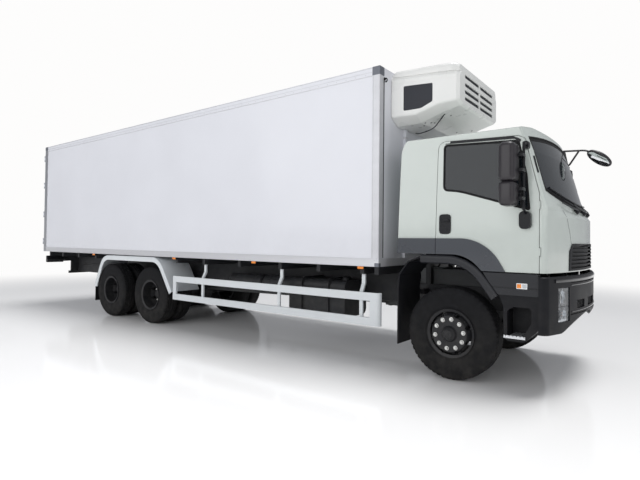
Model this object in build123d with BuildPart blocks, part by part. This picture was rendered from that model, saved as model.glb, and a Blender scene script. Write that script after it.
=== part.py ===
"""Refrigerated truck: a three-axle cab-over lorry with an insulated box body and a nose-mounted cooling unit.

The frame: +X is forward, +Y is the truck's left, +Z is up. The origin is on the ground, under the middle of
the overall box. Lengths are millimetres. Distances named ..._ahead are measured forward from the front axle.
"""

import os
from math import asin, cos, pi, radians, sin, tan

from build123d import *

PARTS = {}
SIDES = (("right", -1), ("left", 1))

# Running clearances that several pieces share
seat_gap = 0.3
panel_gap = 6.0
overrun = 50.0

# Wheelbase, wheels and track
wheelbase = 5825.0
tandem_spacing = 1370.0
tyre_radius = 530.0
tyre_width = 280.0
front_track = 2060.0
rear_track = 1850.0
twin_spacing = 320.0
rim_seat_radius = 258.0
disc_outset = 160.0

# Insulated body
body_front_ahead = -892.0
body_length = 9351.0
body_half = 1250.0
body_bottom = 1254.0
body_height = 2525.0
body_wall = 80.0
floor_thickness = 120.0
edging_proud = 4.0
bottom_rail_height = 102.0
top_rail_height = 120.0
front_post_width = 100.0
rear_post_depth = 130.0

# Cab
cab_half = 1200.0
cab_nose_ahead = 1218.0
cab_rear_ahead = -653.0
cab_bottom = 1262.0
cab_rear_bottom = 1434.0
cab_wall = 55.0
roof_height = 2880.0
front_crown_radius = 3500.0
screen_crown_radius = 5600.0

# Under mirror at the left front corner, the foremost piece
mirror_head_ahead = 1219.0
mirror_head_height = 2750.0
mirror_head_length = 350.0
mirror_head_width = 230.0
mirror_head_thickness = 60.0
mirror_head_tilt = 35.0

# Rear hinge pins, the rearmost pieces
hinge_pin_behind = 20.0
hinge_knuckle_radius = 14.0
lock_bar_radius = 17.0
lock_bar_standoff = 30.0

# The frame's origin lies half way between the foremost and the rearmost point
head_round = mirror_head_thickness / 2
reach_front = (
    mirror_head_ahead
    + (mirror_head_length / 2 - head_round) * cos(radians(mirror_head_tilt))
    + head_round
)
reach_rear = body_length - body_front_ahead + lock_bar_standoff + lock_bar_radius
front_axle_x = (reach_rear - reach_front) / 2
axle_height = tyre_radius


def ahead(distance):
    """The X of a station given as its distance ahead of the front axle."""
    return front_axle_x + distance


def keep(name, builder):
    """Labels a finished piece and puts it on the list of pieces to write."""
    builder.part.label = name
    PARTS[name] = builder.part


def block(x, y, z, mode=Mode.ADD):
    """A square block between two limits along each axis."""
    with Locations(((x[0] + x[1]) / 2, (y[0] + y[1]) / 2, (z[0] + z[1]) / 2)):
        Box(abs(x[1] - x[0]), abs(y[1] - y[0]), abs(z[1] - z[0]), mode=mode)


def side_prism(points, near, far, rounding=0.0, mode=Mode.ADD):
    """A side-view outline of (x, z) points, solid between two distances to the right of centre."""
    with BuildSketch(Plane.XZ.offset(near)) as outline:
        with BuildLine():
            Polyline(*points, close=True)
        make_face()
        if rounding:
            fillet(outline.vertices(), rounding)
    extrude(outline.sketch, amount=far - near, mode=mode)


def rounded_outline(points):
    """A closed outline of (first, second, rounding) points, as a sketch in its own plane."""
    with BuildSketch() as outline:
        with BuildLine():
            Polyline(*[(first, second) for first, second, _ in points], close=True)
        make_face()
        for first, second, rounding in points:
            if rounding:
                fillet(outline.vertices().sort_by_distance((first, second, 0))[0], rounding)
    return outline.sketch


def crowned_front(nose, half, corner, crown):
    """The plan points of a crowned front edge: the end of its arc, then the corner's middle and end."""
    lean = asin((half - corner) / crown)
    start = Vector(nose - crown + crown * cos(lean), half - corner)
    reach = corner / cos(lean)
    tip = start + Vector(-sin(lean), cos(lean)) * reach
    end = tip - Vector(reach, 0)
    radius = reach / tan((pi / 2 - lean) / 2)
    centre = end - Vector(0, radius)
    middle = centre + (tip - centre).normalized() * radius
    return start, middle, end


def crowned_plan(nose, half, corner, crown, rear, height):
    """A plan outline at a height: a crowned front edge, two rounded corners and three straight edges."""
    start, middle, end = crowned_front(nose, half, corner, crown)
    with BuildSketch(Plane.XY.offset(height)) as plan:
        with BuildLine():
            ThreePointArc((start.X, -start.Y), (nose, 0), (start.X, start.Y))
            ThreePointArc((start.X, start.Y), (middle.X, middle.Y), (end.X, end.Y))
            Polyline((end.X, end.Y), (rear, half), (rear, -half), (end.X, -end.Y))
            ThreePointArc((end.X, -end.Y), (middle.X, -middle.Y), (start.X, -start.Y))
        make_face()
    return plan.sketch


body_rear = ahead(body_front_ahead - body_length)
body_front = ahead(body_front_ahead)
body_top = body_bottom + body_height
floor_top = body_bottom + floor_thickness

# Ladder frame

rail_front_ahead = 1060.0
rail_rear_behind = 40.0
rail_outer = 425.0
rail_flange = 80.0
rail_web = 10.0
rail_bottom = 740.0
rail_top = 1010.0
cross_member_depth = 180.0
cross_member_width = 70.0
cross_member_stations = (980.0, -1550.0, -2900.0, -4300.0, -5500.0, -6510.0, -7550.0, -8900.0, -10050.0)

with BuildPart() as frame_rails:
    rail_span = (body_rear + rail_rear_behind, ahead(rail_front_ahead))
    block(rail_span, (-rail_outer, -rail_outer + rail_flange), (rail_bottom, rail_top))
    block(
        rail_span,
        (-rail_outer + rail_web, -rail_outer + rail_flange + overrun),
        (rail_bottom + rail_web, rail_top - rail_web),
        mode=Mode.SUBTRACT,
    )
    mirror(about=Plane.XZ)
keep("frame_rails", frame_rails)

with BuildPart() as cross_members:
    member_half = rail_outer - rail_web
    member_middle = (rail_bottom + rail_top) / 2
    for station in cross_member_stations:
        block(
            (ahead(station) - cross_member_width / 2, ahead(station) + cross_member_width / 2),
            (-member_half, member_half),
            (member_middle - cross_member_depth / 2, member_middle + cross_member_depth / 2),
        )
# Cab mounts: the tilt pins at the front of the frame and the rest behind the cab

tilt_ahead = 1100.0
tilt_height = 900.0
tilt_pin_radius = 20.0
tilt_plate_thickness = 20.0
tilt_plate_radius = 60.0
tilt_arm_near = 455.0
tilt_arm_far = 495.0
tilt_eye_radius = 48.0
tilt_arm_foot_ahead = 772.0
rest_ahead = -600.0
rest_depth = 70.0
rest_beam = 80.0
rest_gap = 10.0

with BuildPart() as cab_mounts:
    tilt_x = ahead(tilt_ahead)
    plate_foot_ahead = rail_front_ahead - 3 * tilt_plate_radius
    with BuildSketch(Plane.XZ.offset(rail_outer)):
        with Locations((tilt_x, tilt_height)):
            Circle(tilt_plate_radius)
        with Locations(((tilt_x + ahead(plate_foot_ahead)) / 2, tilt_height)):
            Rectangle(tilt_x - ahead(plate_foot_ahead), 2 * tilt_plate_radius)
    extrude(amount=tilt_plate_thickness)
    with BuildSketch(Plane.XZ.offset(rail_outer + tilt_plate_thickness)):
        with Locations((tilt_x, tilt_height)):
            Circle(tilt_pin_radius)
    extrude(amount=tilt_arm_far - rail_outer)
    mirror(about=Plane.XZ)
    rest_top = cab_rear_bottom - rest_gap
    rest_x = (ahead(rest_ahead) - rest_depth / 2, ahead(rest_ahead) + rest_depth / 2)
    rest_half = rail_outer
    block(rest_x, (-rest_half, rest_half), (rail_top, rest_top))
    block(
        (rest_x[0] - overrun, rest_x[1] + overrun),
        (-rest_half + rest_beam, rest_half - rest_beam),
        (rail_top - overrun, rest_top - rest_beam),
        mode=Mode.SUBTRACT,
    )
    add(cross_members.part)
keep("frame_fittings", cab_mounts)

# Engine and gearbox, one plain block

engine_front_ahead = 520.0
engine_rear_ahead = -760.0
engine_half = 310.0
engine_bottom = 600.0
engine_top = 1210.0
gearbox_rear_ahead = -1380.0
gearbox_half = 190.0
gearbox_bottom = 640.0
gearbox_top = 1020.0
engine_mounts = ((300.0, engine_half), (-1200.0, gearbox_half))
engine_mount_size = 100.0
engine_mount_low = 800.0
shaft_radius = 45.0
shaft_flange_radius = 80.0
shaft_flange_length = 40.0
axle_tube_radius = 75.0
banjo_radius = 190.0
spring_seat_gap = 0.5

with BuildPart() as engine:
    block(
        (ahead(engine_rear_ahead), ahead(engine_front_ahead)),
        (-engine_half, engine_half),
        (engine_bottom, engine_top),
    )
    block(
        (ahead(gearbox_rear_ahead), ahead(engine_rear_ahead)),
        (-gearbox_half, gearbox_half),
        (gearbox_bottom, gearbox_top),
    )
    # Mounts out to the frame rails
    for station, half in engine_mounts:
        for side_name, side in SIDES:
            block(
                (ahead(station) - engine_mount_size / 2, ahead(station) + engine_mount_size / 2),
                (side * half, side * (rail_outer - rail_web)),
                (engine_mount_low, engine_mount_low + engine_mount_size),
            )
    # The propeller shaft back to the first rear axle, with a flange at each end
    shaft_start = Vector(ahead(gearbox_rear_ahead), 0, gearbox_bottom + shaft_radius)
    shaft_end = Vector(ahead(-wheelbase) + banjo_radius + spring_seat_gap, 0, axle_height + axle_tube_radius)
    along = shaft_end - shaft_start
    with BuildSketch(Plane(origin=shaft_start - along.normalized() * shaft_radius, z_dir=along)):
        Circle(shaft_radius)
    extrude(amount=along.length + shaft_radius - shaft_flange_length)
    with BuildSketch(Plane(origin=shaft_start, z_dir=along)):
        Circle(shaft_flange_radius)
    extrude(amount=shaft_flange_length)
keep("engine_block", engine)

# Axles

spindle_radius = 55.0
banjo_half = 130.0
rear_tube_half = 600.0
kingpin_y = 880.0
kingpin_radius = 24.0
kingpin_boss_radius = 46.0
kingpin_boss_height = 120.0
beam_half_width = 40.0
beam_depth = 90.0
beam_drop = 60.0
beam_bend_y = 600.0
rear_axle_stations = (-wheelbase, -wheelbase - tandem_spacing)
rear_spindle_end = rear_track / 2 + 60.0
spring_y = 385.0

with BuildPart() as axles:
    # The steered axle: a dropped beam with an upright boss for the kingpin at each end
    with BuildSketch(Plane.YZ.offset(ahead(-beam_half_width))):
        with BuildLine():
            low = axle_height - beam_drop
            Polyline(
                (-kingpin_y, axle_height + beam_depth / 2),
                (-beam_bend_y, low + beam_depth / 2),
                (beam_bend_y, low + beam_depth / 2),
                (kingpin_y, axle_height + beam_depth / 2),
                (kingpin_y, axle_height - beam_depth / 2),
                (beam_bend_y, low - beam_depth / 2),
                (-beam_bend_y, low - beam_depth / 2),
                (-kingpin_y, axle_height - beam_depth / 2),
                close=True,
            )
        make_face()
    extrude(amount=2 * beam_half_width)
    with Locations(*[(ahead(0), side * kingpin_y, axle_height) for _, side in SIDES]):
        Cylinder(kingpin_boss_radius, kingpin_boss_height)
        Cylinder(kingpin_radius + seat_gap, kingpin_boss_height + overrun, mode=Mode.SUBTRACT)
    # The rear axles: a tube with a bulged middle, and a spindle at each end
    for station in rear_axle_stations:
        centre = (ahead(station), 0, axle_height)
        with Locations(Location(centre, (90, 0, 0))):
            Cylinder(axle_tube_radius, 2 * rear_tube_half)
            Cylinder(spindle_radius, 2 * rear_spindle_end)
            Cylinder(banjo_radius, 2 * banjo_half)
keep("axles", axles)

# Steering knuckles: a yoke over the beam's boss, with the kingpin and the wheel's spindle

yoke_gap = 6.0
yoke_ear = 34.0
yoke_half_width = 46.0
yoke_spine_near = 54.0
yoke_spine_far = 92.0
front_spindle_radius = 40.0
front_spindle_end = front_track / 2 + 110.0


def make_knuckle(side):
    """One knuckle, on the right for side -1 and on the left for side 1."""
    ear_low = kingpin_boss_height / 2 + yoke_gap
    ear_high = ear_low + yoke_ear
    pin_y = side * kingpin_y
    with BuildPart() as knuckle:
        for up in (-1, 1):
            block(
                (ahead(-yoke_half_width), ahead(yoke_half_width)),
                (pin_y - side * yoke_half_width, pin_y + side * yoke_spine_far),
                (axle_height + up * ear_low, axle_height + up * ear_high),
            )
        block(
            (ahead(-yoke_half_width), ahead(yoke_half_width)),
            (pin_y + side * yoke_spine_near, pin_y + side * yoke_spine_far),
            (axle_height - ear_high, axle_height + ear_high),
        )
        with Locations((ahead(0), pin_y, axle_height)):
            Cylinder(kingpin_radius, 2 * ear_high)
        spindle_start = kingpin_y + yoke_spine_far
        spindle_middle = side * (spindle_start + front_spindle_end) / 2
        with Locations(Location((ahead(0), spindle_middle, axle_height), (90, 0, 0))):
            Cylinder(front_spindle_radius, front_spindle_end - spindle_start)
    return knuckle


for side_name, side in SIDES:
    keep("knuckle_" + side_name, make_knuckle(side))

# Wheels

tyre_bead_half = 105.0
tyre_bulge_low_half = 112.0
tyre_bulge_low = 370.0
tyre_bulge_high = 425.0
tyre_shoulder_half = 124.0
tyre_shoulder_radius = 508.0
tyre_crown_half = 104.0
rim_thickness = 12.0
rim_flange_radius = 278.0
rim_half = 118.0
disc_thickness = 14.0
disc_outer_radius = 205.0
hub_radius = 92.0
hub_front_reach = 205.0
hub_cap_radius = 62.0
hand_holes = 8
hand_hole_phase_share = 0.5
hand_hole_radius = 26.0
drum_radius = 205.0
front_drum_depth = 120.0
rear_drum_depth = 190.0


def wheel_plane(x, y, side):
    """A plane for half sections of a wheel: its first axis points outboard and its second one up."""
    return Plane(origin=(x, y, axle_height), x_dir=(0, side, 0), z_dir=(side, 0, 0))


def ring(x, y, side, points, mode=Mode.ADD):
    """A closed (outboard, radius) section turned about the wheel's axle."""
    with BuildSketch(wheel_plane(x, y, side)) as section:
        with BuildLine():
            Polyline(*points, close=True)
        make_face()
    revolve(section.sketch, axis=Axis((x, y, axle_height), (0, 1, 0)), mode=mode)


def add_tyre(x, y, side):
    """One tyre, a full ring with bulged side walls and a gently crowned tread."""
    half = tyre_width / 2
    outer_side = [
        (tyre_bead_half, rim_seat_radius + seat_gap),
        (tyre_bulge_low_half, rim_flange_radius),
        (half, tyre_bulge_low),
        (half, tyre_bulge_high),
        (tyre_shoulder_half, tyre_shoulder_radius),
        (tyre_crown_half, tyre_radius),
    ]
    inner_side = [(-offset_y, radius) for offset_y, radius in reversed(outer_side)]
    ring(x, y, side, outer_side + inner_side)


def add_rim(x, y, side):
    """One rim and its dished disc, whose flat middle stands out to the disc's outset."""
    seat, flange = rim_seat_radius, rim_flange_radius
    inner = seat - rim_thickness
    ring(
        x,
        y,
        side,
        [
            (-rim_half - rim_thickness, flange),
            (-rim_half, flange),
            (-tyre_bead_half - seat_gap, seat),
            (tyre_bead_half + seat_gap, seat),
            (rim_half, flange),
            (rim_half + rim_thickness, flange),
            (rim_half, inner),
            (-rim_half, inner),
        ],
    )
    cone_foot = disc_outset / 4
    ring(
        x,
        y,
        side,
        [
            (cone_foot, seat - rim_thickness / 2),
            (cone_foot + disc_thickness, seat - rim_thickness / 2),
            (disc_outset, disc_outer_radius),
            (disc_outset, hub_radius - disc_thickness),
            (disc_outset - disc_thickness, hub_radius - disc_thickness),
            (disc_outset - disc_thickness, disc_outer_radius - disc_thickness / 2),
        ],
    )


def cut_hand_holes(x, y, outboard):
    """The ring of round holes through a disc's cone."""
    hole_circle = (disc_outer_radius + rim_seat_radius - rim_thickness) / 2
    for turn in range(hand_holes):
        angle = radians((turn + hand_hole_phase_share) * 360 / hand_holes)
        place = (
            x + hole_circle * cos(angle),
            y + outboard * disc_outset / 2,
            axle_height + hole_circle * sin(angle),
        )
        with Locations(Location(place, (90, 0, 0))):
            Cylinder(hand_hole_radius, disc_outset, mode=Mode.SUBTRACT)


def make_front_wheel(side):
    """A steered wheel's tyre and its rim with hub and drum."""
    x, y = ahead(0), side * front_track / 2
    with BuildPart() as tyre:
        add_tyre(x, y, side)
    with BuildPart() as rim:
        add_rim(x, y, side)
        cut_hand_holes(x, y, side)
        bore = front_spindle_radius + seat_gap
        drum_inner = drum_radius - disc_thickness
        back = disc_outset - disc_thickness
        cap_floor = front_spindle_end - front_track / 2 + panel_gap
        ring(
            x,
            y,
            side,
            [
                (back - front_drum_depth, drum_inner),
                (back - front_drum_depth, drum_radius - seat_gap),
                (back, drum_radius - disc_thickness),
                (back, hub_radius),
                (disc_outset, hub_radius),
                (hub_front_reach - disc_thickness, hub_radius - disc_thickness),
                (hub_front_reach, hub_cap_radius),
                (hub_front_reach, 0),
                (cap_floor, 0),
                (cap_floor, bore),
                (back - front_drum_depth / 2, bore),
                (back - front_drum_depth / 2, hub_radius - disc_thickness),
                (back - disc_thickness, hub_radius),
                (back - disc_thickness, drum_inner - disc_thickness),
            ],
        )
    return tyre, rim


def make_rear_wheel(side, station):
    """A twin wheel: two tyres, and two rims with their discs back to back on one hub and drum."""
    x, mount_y = ahead(station), side * rear_track / 2
    outer_y = side * (rear_track + twin_spacing) / 2
    inner_y = side * (rear_track - twin_spacing) / 2
    with BuildPart() as tyre:
        add_tyre(x, outer_y, side)
        add_tyre(x, inner_y, side)
    with BuildPart() as rim:
        add_rim(x, outer_y, -side)
        add_rim(x, inner_y, side)
        cut_hand_holes(x, outer_y, -side)
        cut_hand_holes(x, inner_y, side)
        bore = spindle_radius + seat_gap
        cap_floor = rear_spindle_end - rear_track / 2 + panel_gap
        reach = hub_front_reach - disc_outset / 2
        ring(
            x,
            mount_y,
            side,
            [
                (-rear_drum_depth, drum_radius - disc_thickness),
                (-rear_drum_depth, drum_radius),
                (-disc_thickness, drum_radius),
                (-disc_thickness, hub_radius),
                (reach - disc_thickness, hub_radius),
                (reach, hub_cap_radius),
                (reach, 0),
                (cap_floor, 0),
                (cap_floor, bore),
                (-rear_drum_depth / 2, bore),
                (-rear_drum_depth / 2, hub_radius),
                (-2 * disc_thickness, hub_radius),
                (-2 * disc_thickness, drum_radius - disc_thickness),
            ],
        )
    return tyre, rim


for side_name, side in SIDES:
    front_tyre, front_rim = make_front_wheel(side)
    keep(f"front_wheel_{side_name}_tyre", front_tyre)
    keep(f"front_wheel_{side_name}_rim", front_rim)
    for number, station in enumerate(rear_axle_stations, 1):
        rear_tyre, rear_rim = make_rear_wheel(side, station)
        keep(f"rear_wheel_{number}_{side_name}_tyres", rear_tyre)
        keep(f"rear_wheel_{number}_{side_name}_rims", rear_rim)

# Springs, and the rear bogie's trunnions

spring_width = 80.0
front_spring_half_length = 620.0
front_spring_camber = 110.0
front_spring_thickness = 60.0
rear_spring_camber = 130.0
rear_spring_thickness = 110.0
trunnion_radius = 70.0

with BuildPart() as leaf_springs:
    seat_z = axle_height - beam_drop + beam_depth / 2 + spring_seat_gap
    near, far = spring_y - spring_width / 2, spring_y + spring_width / 2
    with BuildSketch(Plane.XZ.offset(near)):
        with BuildLine():
            reach, rise = front_spring_half_length, front_spring_camber
            ThreePointArc((ahead(-reach), seat_z + rise), (ahead(0), seat_z), (ahead(reach), seat_z + rise))
            Line((ahead(reach), seat_z + rise), (ahead(reach), seat_z + rise + front_spring_thickness / 3))
            ThreePointArc(
                (ahead(reach), seat_z + rise + front_spring_thickness / 3),
                (ahead(0), seat_z + front_spring_thickness),
                (ahead(-reach), seat_z + rise + front_spring_thickness / 3),
            )
            Line((ahead(-reach), seat_z + rise + front_spring_thickness / 3), (ahead(-reach), seat_z + rise))
        make_face()
    extrude(amount=far - near)
    # Hangers that carry the ends of the front springs
    hanger_width = spring_width / 2
    for end in (-1, 1):
        hanger_x = ahead(end * (front_spring_half_length - hanger_width / 2))
        block(
            (hanger_x - hanger_width / 2, hanger_x + hanger_width / 2),
            (-far, -near),
            (seat_z + front_spring_camber, rail_bottom),
        )
    bogie_x = (ahead(rear_axle_stations[0]) + ahead(rear_axle_stations[1])) / 2
    tip_z = axle_height + axle_tube_radius + spring_seat_gap
    crown_z = tip_z + rear_spring_camber
    bogie_half = tandem_spacing / 2
    with BuildSketch(Plane.XZ.offset(rail_outer + trunnion_radius)):
        with BuildLine():
            thin = rear_spring_thickness / 3
            ThreePointArc(
                (bogie_x - bogie_half, tip_z),
                (bogie_x, crown_z - rear_spring_thickness / 2),
                (bogie_x + bogie_half, tip_z),
            )
            Line((bogie_x + bogie_half, tip_z), (bogie_x + bogie_half, tip_z + thin))
            ThreePointArc(
                (bogie_x + bogie_half, tip_z + thin),
                (bogie_x, crown_z + rear_spring_thickness / 2),
                (bogie_x - bogie_half, tip_z + thin),
            )
            Line((bogie_x - bogie_half, tip_z + thin), (bogie_x - bogie_half, tip_z))
        make_face()
    extrude(amount=spring_width)
    trunnion_y = -(rail_outer + trunnion_radius / 2 + spring_width / 2)
    with Locations(Location((bogie_x, trunnion_y, crown_z), (90, 0, 0))):
        Cylinder(trunnion_radius, trunnion_radius + spring_width)
    mirror(about=Plane.XZ)
keep("leaf_springs", leaf_springs)

# Tanks and boxes on the frame's sides

tank_gap = 20.0
fuel_tank_ahead = -1560.0
fuel_tank_length = 1000.0
fuel_tank_width = 560.0
fuel_tank_bottom = 520.0
fuel_tank_height = 500.0
fuel_tank_round = 90.0
battery_ahead = -1560.0
battery_length = 560.0
battery_width = 480.0
battery_bottom = 600.0
battery_height = 380.0
battery_round = 20.0
air_tank_radius = 140.0
air_tank_length = 700.0
air_tank_ahead = -3000.0
air_tank_height = 860.0
air_tank_pitch = 800.0
air_tank_y = 620.0
silencer_ahead = -2680.0
silencer_length = 900.0
silencer_radius = 170.0
silencer_y = 640.0
silencer_height = 780.0
bracket_width = 60.0


def add_bracket(x, side, reach, low, high):
    """A flat bracket that ties a side tank to the frame rail."""
    block((x - bracket_width / 2, x + bracket_width / 2), (side * rail_outer, side * reach), (low, high))


tank_bracket_shares = (0.2, 0.8)

with BuildPart() as fuel_tank:
    tank_x = (ahead(fuel_tank_ahead - fuel_tank_length), ahead(fuel_tank_ahead))
    tank_y = (-rail_outer - tank_gap - fuel_tank_width, -rail_outer - tank_gap)
    block(tank_x, tank_y, (fuel_tank_bottom, fuel_tank_bottom + fuel_tank_height))
    fillet(edges().filter_by(Axis.X), fuel_tank_round)
    for share in tank_bracket_shares:
        bracket_x = tank_x[0] + share * fuel_tank_length
        add_bracket(bracket_x, -1, -tank_y[1], rail_bottom + rail_web, rail_top - rail_web)
keep("fuel_tank", fuel_tank)

with BuildPart() as battery_box:
    battery_x = (ahead(battery_ahead - battery_length), ahead(battery_ahead))
    battery_y = (rail_outer + tank_gap, rail_outer + tank_gap + battery_width)
    block(battery_x, battery_y, (battery_bottom, battery_bottom + battery_height))
    fillet(edges(), battery_round)
    battery_top = battery_bottom + battery_height
    add_bracket(sum(battery_x) / 2, 1, battery_y[0], rail_bottom + rail_web, battery_top - rail_web)
keep("battery_box", battery_box)

with BuildPart() as air_tanks:
    for number in range(2):
        tank_middle = ahead(air_tank_ahead - number * air_tank_pitch)
        with Locations(Location((tank_middle, -air_tank_y, air_tank_height), (0, 90, 0))):
            Cylinder(air_tank_radius, air_tank_length)
        low, high = air_tank_height - bracket_width, air_tank_height + bracket_width
        add_bracket(tank_middle, -1, air_tank_y, low, high)
keep("air_tanks", air_tanks)

with BuildPart() as silencer:
    silencer_x = ahead(silencer_ahead)
    with Locations(Location((silencer_x, silencer_y, silencer_height), (0, 90, 0))):
        Cylinder(silencer_radius, silencer_length)
    add_bracket(silencer_x, 1, silencer_y, silencer_height, silencer_height + bracket_width)
keep("silencer", silencer)

# Front bumper: a crowned shell that wraps round both corners, with a stepped brow, three intakes and a chin

bumper_nose_ahead = 1255.0
bumper_end_ahead = 955.0
bumper_half = 1242.0
bumper_top = 1226.0
bumper_bottom = 640.0
bumper_chin = 830.0
bumper_chin_ahead = 1120.0
bumper_wall = 36.0
bumper_corner = 55.0
bumper_chamfer = 12.0
lamp_near = 790.0
lamp_far = 1030.0
lamp_low = 752.0
lamp_split = 914.0
lamp_high = 1108.0
lamp_inset = 10.0
lamp_depth = 90.0
intake_low = 868.0
intake_high = 958.0
intake_spans = ((-600.0, -345.0), (-190.0, 190.0), (345.0, 600.0))
brow_low = 1150.0
brow_high = 1166.0
brow_depth = 14.0
brow_half = 760.0
lip_low = 812.0
lip_high = 826.0
lamp_bezel = 22.0


def bumper_solid(inset, low, high):
    """A slice of the space behind the bumper's face between two heights, drawn in by inset."""
    rear = ahead(bumper_end_ahead) - (overrun if inset else 0)
    plan = crowned_plan(
        ahead(bumper_nose_ahead) - inset, bumper_half - inset, bumper_corner, front_crown_radius, rear, low
    )
    with BuildPart() as body:
        extrude(plan, amount=high - low)
    return body.part


def lamp_lens(side, low, high):
    """One lamp: a slab that follows the bumper's crown a little behind its face."""
    with BuildPart() as lens:
        add(bumper_solid(lamp_inset, low + seat_gap, high - seat_gap))
        add(bumper_solid(lamp_inset + lamp_depth, low - overrun, high + overrun), mode=Mode.SUBTRACT)
        block(
            (ahead(bumper_end_ahead), ahead(bumper_nose_ahead) + overrun),
            (side * (lamp_near + seat_gap), side * (lamp_far - seat_gap)),
            (low, high),
            mode=Mode.INTERSECT,
        )
    return lens.part


def bumper_groove(low, high, half, depth):
    """A groove along the bumper's face between two heights."""
    with BuildPart() as groove:
        add(bumper_solid(-overrun, low, high))
        add(bumper_solid(depth, low - overrun, high + overrun), mode=Mode.SUBTRACT)
        block(
            (ahead(bumper_end_ahead) - overrun, ahead(bumper_nose_ahead) + 2 * overrun),
            (-half, half),
            (low, high),
            mode=Mode.INTERSECT,
        )
    return groove.part


bumper_grooves = [
    bumper_groove(brow_low, brow_high, brow_half, brow_depth),
    bumper_groove(lip_low, lip_high, lamp_near - lamp_bezel, brow_depth),
]
bumper_skin = bumper_solid(0, bumper_bottom, bumper_top)
bumper_hollow = bumper_solid(bumper_wall, bumper_bottom - overrun, bumper_top + overrun)
with BuildPart() as front_bumper:
    add(bumper_skin)
    top_rim = faces().sort_by(Axis.Z)[-1].edges()
    rim_rear = ahead(bumper_end_ahead) + bumper_chamfer
    chamfer(top_rim.filter_by(lambda edge: edge.center().X > rim_rear), bumper_chamfer)
    add(bumper_hollow, mode=Mode.SUBTRACT)
    far_out = bumper_nose_ahead + overrun
    chin_points = [
        (ahead(bumper_nose_ahead), bumper_chin),
        (ahead(far_out), bumper_chin),
        (ahead(far_out), bumper_bottom - overrun),
        (ahead(bumper_chin_ahead), bumper_bottom - overrun),
        (ahead(bumper_chin_ahead), bumper_bottom),
    ]
    side_prism(chin_points, -bumper_half, bumper_half, mode=Mode.SUBTRACT)
    for low_y, high_y in intake_spans:
        block(
            (ahead(bumper_chin_ahead), ahead(far_out)),
            (low_y, high_y),
            (intake_low, intake_high),
            mode=Mode.SUBTRACT,
        )
    for side_name, side in SIDES:
        block(
            (ahead(bumper_end_ahead) + overrun, ahead(far_out)),
            (side * lamp_near, side * lamp_far),
            (lamp_low, lamp_high),
            mode=Mode.SUBTRACT,
        )
    for groove in bumper_grooves:
        add(groove, mode=Mode.SUBTRACT)
    # Two brackets back to the ends of the frame rails
    bracket_top = rail_top - bracket_width
    for side_name, side in SIDES:
        block(
            (ahead(rail_front_ahead), ahead(bumper_nose_ahead) - bumper_wall),
            (side * (rail_outer - rail_flange), side * (rail_outer - rail_web)),
            (bracket_top - bracket_width, bracket_top),
        )
keep("front_bumper", front_bumper)

lenses = [
    lamp_lens(side, low, high)
    for _, side in SIDES
    for low, high in ((lamp_low, lamp_split), (lamp_split, lamp_high))
]

with BuildPart() as headlamps:
    for lens in lenses:
        add(lens)
keep("headlamps", headlamps)

# Step housings between the bumper and the front wheels: a sill, a well and a tread board in each

step_near = 900.0
step_far = 1200.0
sill_far = 1212.0
sill_near = 1120.0
# ahead of the front axle, height, rounding
step_outline = (
    (548.0, 1034.0, 0.0),
    (600.0, 900.0, 0.0),
    (604.0, 600.0, 30.0),
    (640.0, 540.0, 30.0),
    (812.0, 540.0, 60.0),
    (948.0, 680.0, 40.0),
    (948.0, 1034.0, 0.0),
)
sill_outline = (
    (386.0, 1250.0, 0.0),
    (430.0, 1180.0, 60.0),
    (546.0, 1020.0, 20.0),
    (948.0, 1020.0, 12.0),
    (948.0, 1250.0, 0.0),
)
sill_groove = (1092.0, 1108.0)
sill_groove_depth = 10.0
well_outline = (
    (640.0, 600.0, 20.0),
    (640.0, 860.0, 40.0),
    (700.0, 900.0, 40.0),
    (880.0, 900.0, 40.0),
    (880.0, 740.0, 30.0),
    (800.0, 600.0, 30.0),
)
step_well_depth = 220.0
tread_rear_ahead = 606.0
tread_front_ahead = 822.0
tread_low = 570.0
tread_thickness = 30.0
tread_proud = 10.0
tread_teeth = 6
tread_tooth_share = 0.5
tread_tooth_height = 8.0


def side_slab(points, near, far):
    """A slab between two distances right of centre from a side-view outline with roundings."""
    outline = rounded_outline([(ahead(x), z, rounding) for x, z, rounding in points])
    with BuildPart() as slab:
        with BuildSketch(Plane.XZ.offset(near)):
            add(outline)
        extrude(amount=far - near)
    return slab.part


step_body = side_slab(step_outline, step_near, step_far)
step_sill = side_slab(sill_outline, sill_near, sill_far)
step_well = side_slab(well_outline, step_far - step_well_depth, step_far + overrun)

with BuildPart() as step_housings:
    add(step_body)
    add(step_sill)
    add(step_well, mode=Mode.SUBTRACT)
    block(
        (ahead(tread_rear_ahead), ahead(tread_front_ahead)),
        (-step_far - overrun, -step_far + step_well_depth),
        (tread_low, tread_low + tread_thickness),
        mode=Mode.SUBTRACT,
    )
    block(
        (ahead(0), ahead(bumper_nose_ahead)),
        (-sill_far - overrun, -sill_far + sill_groove_depth),
        sill_groove,
        mode=Mode.SUBTRACT,
    )
    # A beam to the frame rail
    block(
        (ahead(well_outline[0][0]), ahead(well_outline[0][0]) + bracket_width),
        (-step_near, -rail_outer),
        (rail_bottom + bracket_width, rail_bottom + 2 * bracket_width),
    )
    mirror(about=Plane.XZ)
keep("step_housings", step_housings)

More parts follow.
